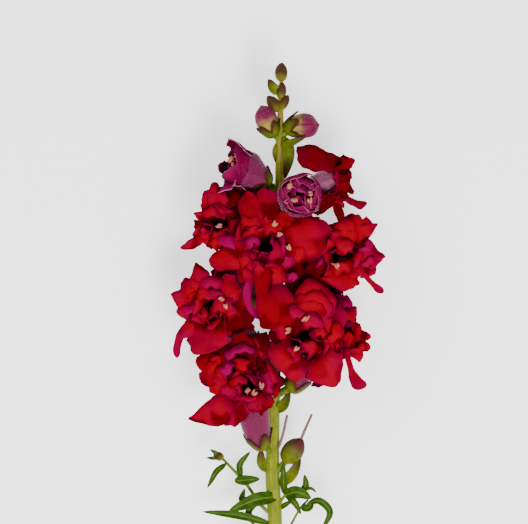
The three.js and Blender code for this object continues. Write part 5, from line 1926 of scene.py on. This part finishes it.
SHOOTS: list[tuple[list[Point], float, float]] = [
    ([(-1.5, -61, 17), (-8, -55, 18.5), (-14.5, -45.5, 20), (-25.5, -33.5, 22)], 0.9, 0.65),
    ([(-1.3, -60, 17), (3.4, -50.5, 20), (8, -48.5, 21.5), (12, -47.8, 22)], 0.9, 0.5),
    ([(-1.3, -78, 14), (6, -65, 13.5), (11, -56, 17), (14, -52.8, 19)], 0.8, 0.5),
    ([(-2.3, -42, 21), (1, -37.5, 24), (4, -34, 25.5)], 1.4, 1.6),
]
STYLES: list[tuple[list[Point], float, float]] = [
    ([(10, -26, 27), (12.4, -20, 29), (15.7, -12.6, 29)], 0.75, 0.6),
    ([(-1, -31, 24), (2.0, -23, 29), (4.3, -13.0, 30)], 0.75, 0.6),
]
SEED_CASE = ((3, -34.6, 25), (0.62, 0.78, 0.2), 14, 5.3)
SMALL_BUDS: list[tuple[Point, Point, float, float]] = [
    ((-25.3, -33.4, 22), (-0.85, 0.5, 0.1), 5.4, 2.2),
    ((0.8, 127.8, 34.6), (-0.64, 0.76, 0.2), 9, 3.0),
    ((1.4, 128.6, 34.8), (0.46, 0.86, 0.2), 7.4, 2.3),
    ((1.3, 133, 35), (0.1, 1, 0.1), 8.2, 2.5),
    ((1.5, 141.2, 35.3), (0.03, 1, 0), 8.9, 3.2),
]


@dataclass
class Greenery:
    """The stem and everything green that grows from it."""

    palette: Palette
    leaf_steps: tuple[int, int] = (20, 8)
    stem_sides: int = 28
    calyx_sides: int = 50
    fold: float = 0.3  # rise of a leaf's edges over its midrib, for each unit of width
    hairs: int = 1600
    hairy: tuple[float, float] = (60.0, 285.0)  # part of the stem with hairs

    def build(self) -> None:
        """Builds the green pieces."""
        self.stem()
        skins = self.palette.plain
        for name, leaves, skin in (
            ("shoot_leaves", SHOOT_LEAVES, "leaf_skin"),
            ("stem_leaves", STEM_LEAVES, "leaf_skin"),
            ("bracts", BRACTS, "calyx_skin"),
        ):
            piece = Piece(name)
            draw = Stream(len(leaves))
            for knots, half in leaves:
                piece.sheet(self.leaf(knots, half, draw), self.leaf_steps, draw())
            piece.done([skins[skin]], Slot.GREEN, LEAF_THICK)
        for name, rods, skin in (("side_shoots", SHOOTS, "shoot_skin"), ("styles", STYLES, "style_skin")):
            piece = Piece(name)
            for knots, first, last in rods:
                rod(piece, Path.through(knots), first, last, 12, 20)
            piece.done([skins[skin]], Slot.GREEN)
        case = Piece("seed_case")
        egg(case, *SEED_CASE, 24, 4)
        case.done([skins["seed_case_skin"]], Slot.GREEN)
        buds = Piece("tip_buds")
        for bud in SMALL_BUDS:
            egg(buds, *bud, 20, 5)
        buds.done([skins["scale_skin"]], Slot.GREEN)
        self.calyxes()
        down = Down("stem_down", self.palette, Slot.GREEN, length=0.7)
        down.cover(STEM, lambda s: float(self.skin(s)), self.hairy, self.hairs)
        down.done()

    @staticmethod
    def skin(distance: Array | float) -> Array:
        """Returns the stem's radius at distances along it."""
        return stem_radius(np.interp(distance, STEM.lengths, STEM.points[:, 1]))

    def stem(self) -> None:
        """Builds the main stem, with low ridges and a flat cut end."""
        ring = np.linspace(0.0, STEM.length, 160)
        profile = [(0.0, 0.0), *zip(ring, self.skin(ring)), (STEM.length, 0.0)]

        def shape(distance: Array, radius: Array, angle: Array) -> Array:
            """Returns points of the stem, with four low ridges."""
            ridged = radius * (1.0 - 0.03 * (0.5 + 0.5 * np.cos(4.0 * angle)))
            return STEM.round(distance, ridged, angle, SKY)

        piece = Piece("stem")
        piece.lathe(profile, self.stem_sides, shape)
        piece.done([self.palette.plain["stem_skin"]], Slot.GREEN, replaces=["leafy_stem"])

    def leaf(self, knots: list[Point], half: float, draw: Stream) -> Surface:
        """Returns the surface of a lance-shaped leaf, folded along its midrib.

        Args:
            knots: Points of its midrib.
            half: Its half width.
            draw: Draws its waves.

        Returns:
            The surface.
        """
        path = Path.through(knots)
        phase = draw.between(0.0, 6.3)

        def surface(along: Array, across: Array) -> Array:
            """Lays the leaf out.

            Args:
                along: Shares of its length.
                across: Shares of its half width, to either side.

            Returns:
                Its points.
            """
            point, normal, side = path.at(along * path.length, SKY)
            lance = np.maximum(np.sin(math.pi * np.clip(along, 0.0, 1.0) ** 0.75), 0.0) ** 0.8
            width = half * (0.14 + 0.86 * lance) * (1.0 - 0.85 * smooth((along - 0.93) / 0.07))
            lift = self.fold * width * np.abs(across) ** 1.3
            lift = lift + 0.12 * half * np.sin(11.0 * along + phase + 1.5 * across) * np.abs(across) ** 2
            return point + side * (width * across)[:, None] + normal * lift[:, None]

        return surface

    def calyxes(self) -> None:
        """Builds the stalks and the five-lobed calyxes under the flowers and buds."""
        for name, blooms in (("flower", BLOOMS), ("opening_bud", OPENING), ("closed_bud", CLOSED)):
            stalks = Piece(f"{name}_stalks")
            cups = Piece(f"{name}_calyxes")
            for bloom in blooms:
                seat = np.array(bloom.seat, float)
                foot = stem_at(bloom.seat[1] - bloom.drop)
                rod(stalks, Path.straight(foot, seat), 1.4, 1.7, 14, 8)
                self.calyx(cups, bloom)
            stalks.done([self.palette.plain["shoot_skin"]], Slot.GREEN)
            cups.done([self.palette.plain["calyx_skin"]], Slot.GREEN, SEPAL_THICK)

    def calyx(self, piece: Piece, bloom: Bloom) -> None:
        """Adds a calyx to a piece.

        Args:
            piece: The piece.
            bloom: The flower that it holds.
        """
        path = bloom.tube
        steps = np.linspace(0.02, 1.0, 12)
        profile = [(0.0, 0.0), *((s, 1.0) for s in steps)]

        def shape(share: Array, flat: Array, angle: Array) -> Array:
            """Shapes the cup, from its foot up its five lobes.

            Args:
                share: Shares of its height.
                flat: Its radius against the usual.
                angle: Angles round it.

            Returns:
                Its points.
            """
            lobe = (0.5 + 0.5 * np.sin(5.0 * angle)) ** 0.6
            top = (3.4 + 4.6 * lobe) * bloom.sepal
            distance = -1.2 + (top + 1.2) * share
            skin = bloom.skin(np.maximum(distance, 0.4), path.length) + 0.75
            skin = skin * smooth((distance + 2.2) / 3.2)
            flare = 0.5 * smooth((share - 0.75) / 0.25) * lobe
            crease = -0.25 * (1.0 - lobe) * smooth(share / 0.4)
            wide = (skin + flare + crease) * np.minimum(flat, 1.0)
            return path.round(distance, wide, angle, bloom.right)

        piece.lathe(profile, self.calyx_sides, shape)


@dataclass
class ClosedBud:
    """A closed bud near the tip: a pale foot and folded mauve petals."""

    bloom: Bloom
    palette: Palette
    sides: int = 48
    hairs: int = 110

    def build(self) -> None:
        """Builds the bud."""
        bloom = self.bloom
        path = bloom.tube
        ring = np.linspace(TUBE_SEAT, path.length, 26)
        radii = bloom.skin(ring, path.length)
        profile = [(TUBE_SEAT, 0.0), *zip(ring, radii), (path.length + 0.1, 0.0)]

        def shape(distance: Array, radius: Array, angle: Array) -> Array:
            """Shapes the bud, with folds where its petals meet.

            Args:
                distance: Distances along its middle line.
                radius: Its radii there, without the folds.
                angle: Angles round it.

            Returns:
                Its points.
            """
            share = distance / path.length
            crease = (1.0 - np.abs(np.sin(2.5 * angle + 1.4 * share))) ** 2
            wide = radius * (1.0 - 0.14 * crease * smooth(share / 0.4))
            return path.round(distance, wide, angle, bloom.right)

        node = f"closed_bud_{bloom.name}"
        piece = Piece(f"{node}_petals")
        piece.lathe(profile, self.sides, shape)
        piece.done([self.palette.plain["bud_skin"]], Slot.MAUVE, replaces=[node])
        down = Down(f"{node}_down", self.palette, Slot.MAUVE, seed=bloom.seed)
        span = (CALYX_DEEP, path.length - 1.0)
        down.cover(path, lambda s: bloom.skin_at(s, path.length), span, self.hairs)
        down.done()


# ---------------------------------------------------------------- the studio
@dataclass
class Studio:
    """A pale floor, soft light and a camera that looks straight down."""

    frame_width: float = 242.9  # what the camera sees at the middle of the plant
    middle: Point = (-6.4, 58.0, 40.0)
    distance: float = 1800.0
    floor_size: float = 4.0  # in metres, as the lamps' places and sizes are
    sky: float = 0.5
    glow: float = 0.9

    def build(self) -> None:
        """Builds the floor, the lights and the camera."""
        self.floor()
        self.lights()
        self.camera()

    def floor(self) -> None:
        """Builds the floor."""
        bm = bmesh.new()
        bmesh.ops.create_grid(bm, x_segments=1, y_segments=1, size=self.floor_size)
        mesh = bpy.data.meshes.new("floor")
        bm.to_mesh(mesh)
        bm.free()
        paper = PlainFinish("floor_paper", (0.93, 0.93, 0.93), (0.95, 0.95, 0.95), 0.9, glow=self.glow)
        mesh.materials.append(paper.material())
        floor = show("floor", mesh)

    def lights(self) -> None:
        """Builds the sky's light and two soft lamps."""
        world = bpy.data.worlds.new("studio_sky")
        world.use_nodes = True
        back = world.node_tree.nodes["Background"]
        back.inputs["Color"].default_value = (1.0, 1.0, 1.0, 1.0)
        back.inputs["Strength"].default_value = self.sky
        bpy.context.scene.world = world
        for name, place, size, watts in (
            ("key_light", (0.3, -0.6, 1.3), 0.6, 39.0),
            ("fill_light", (-0.7, 0.4, 1.1), 0.9, 12.0),
        ):
            data = bpy.data.lights.new(name, "AREA")
            data.size = size
            data.energy = watts
            lamp = show(name, data)
            lamp.location = place
            lamp.rotation_euler = (-Vector(place)).to_track_quat("-Z", "Y").to_euler()

    def camera(self) -> None:
        """Builds the camera over the flower head."""
        data = bpy.data.cameras.new("camera")
        data.sensor_width = 36.0
        data.lens = data.sensor_width * self.distance / self.frame_width
        data.clip_end = 100.0
        camera = show("camera", data)
        x, y, z = self.middle
        camera.location = (x * MM, y * MM, (z + self.distance) * MM)
        bpy.context.scene.camera = camera


def main() -> None:
    """Builds the plant and the studio round it."""
    logging.basicConfig(level=logging.INFO, format="%(name)s: %(message)s")
    palette = Palette()
    Greenery(palette).build()
    for bloom in BLOOMS + OPENING:
        Flower(bloom, palette).build()
    for bloom in CLOSED:
        ClosedBud(bloom, palette).build()
    Studio().build()


if __name__ == "__main__":
    main()
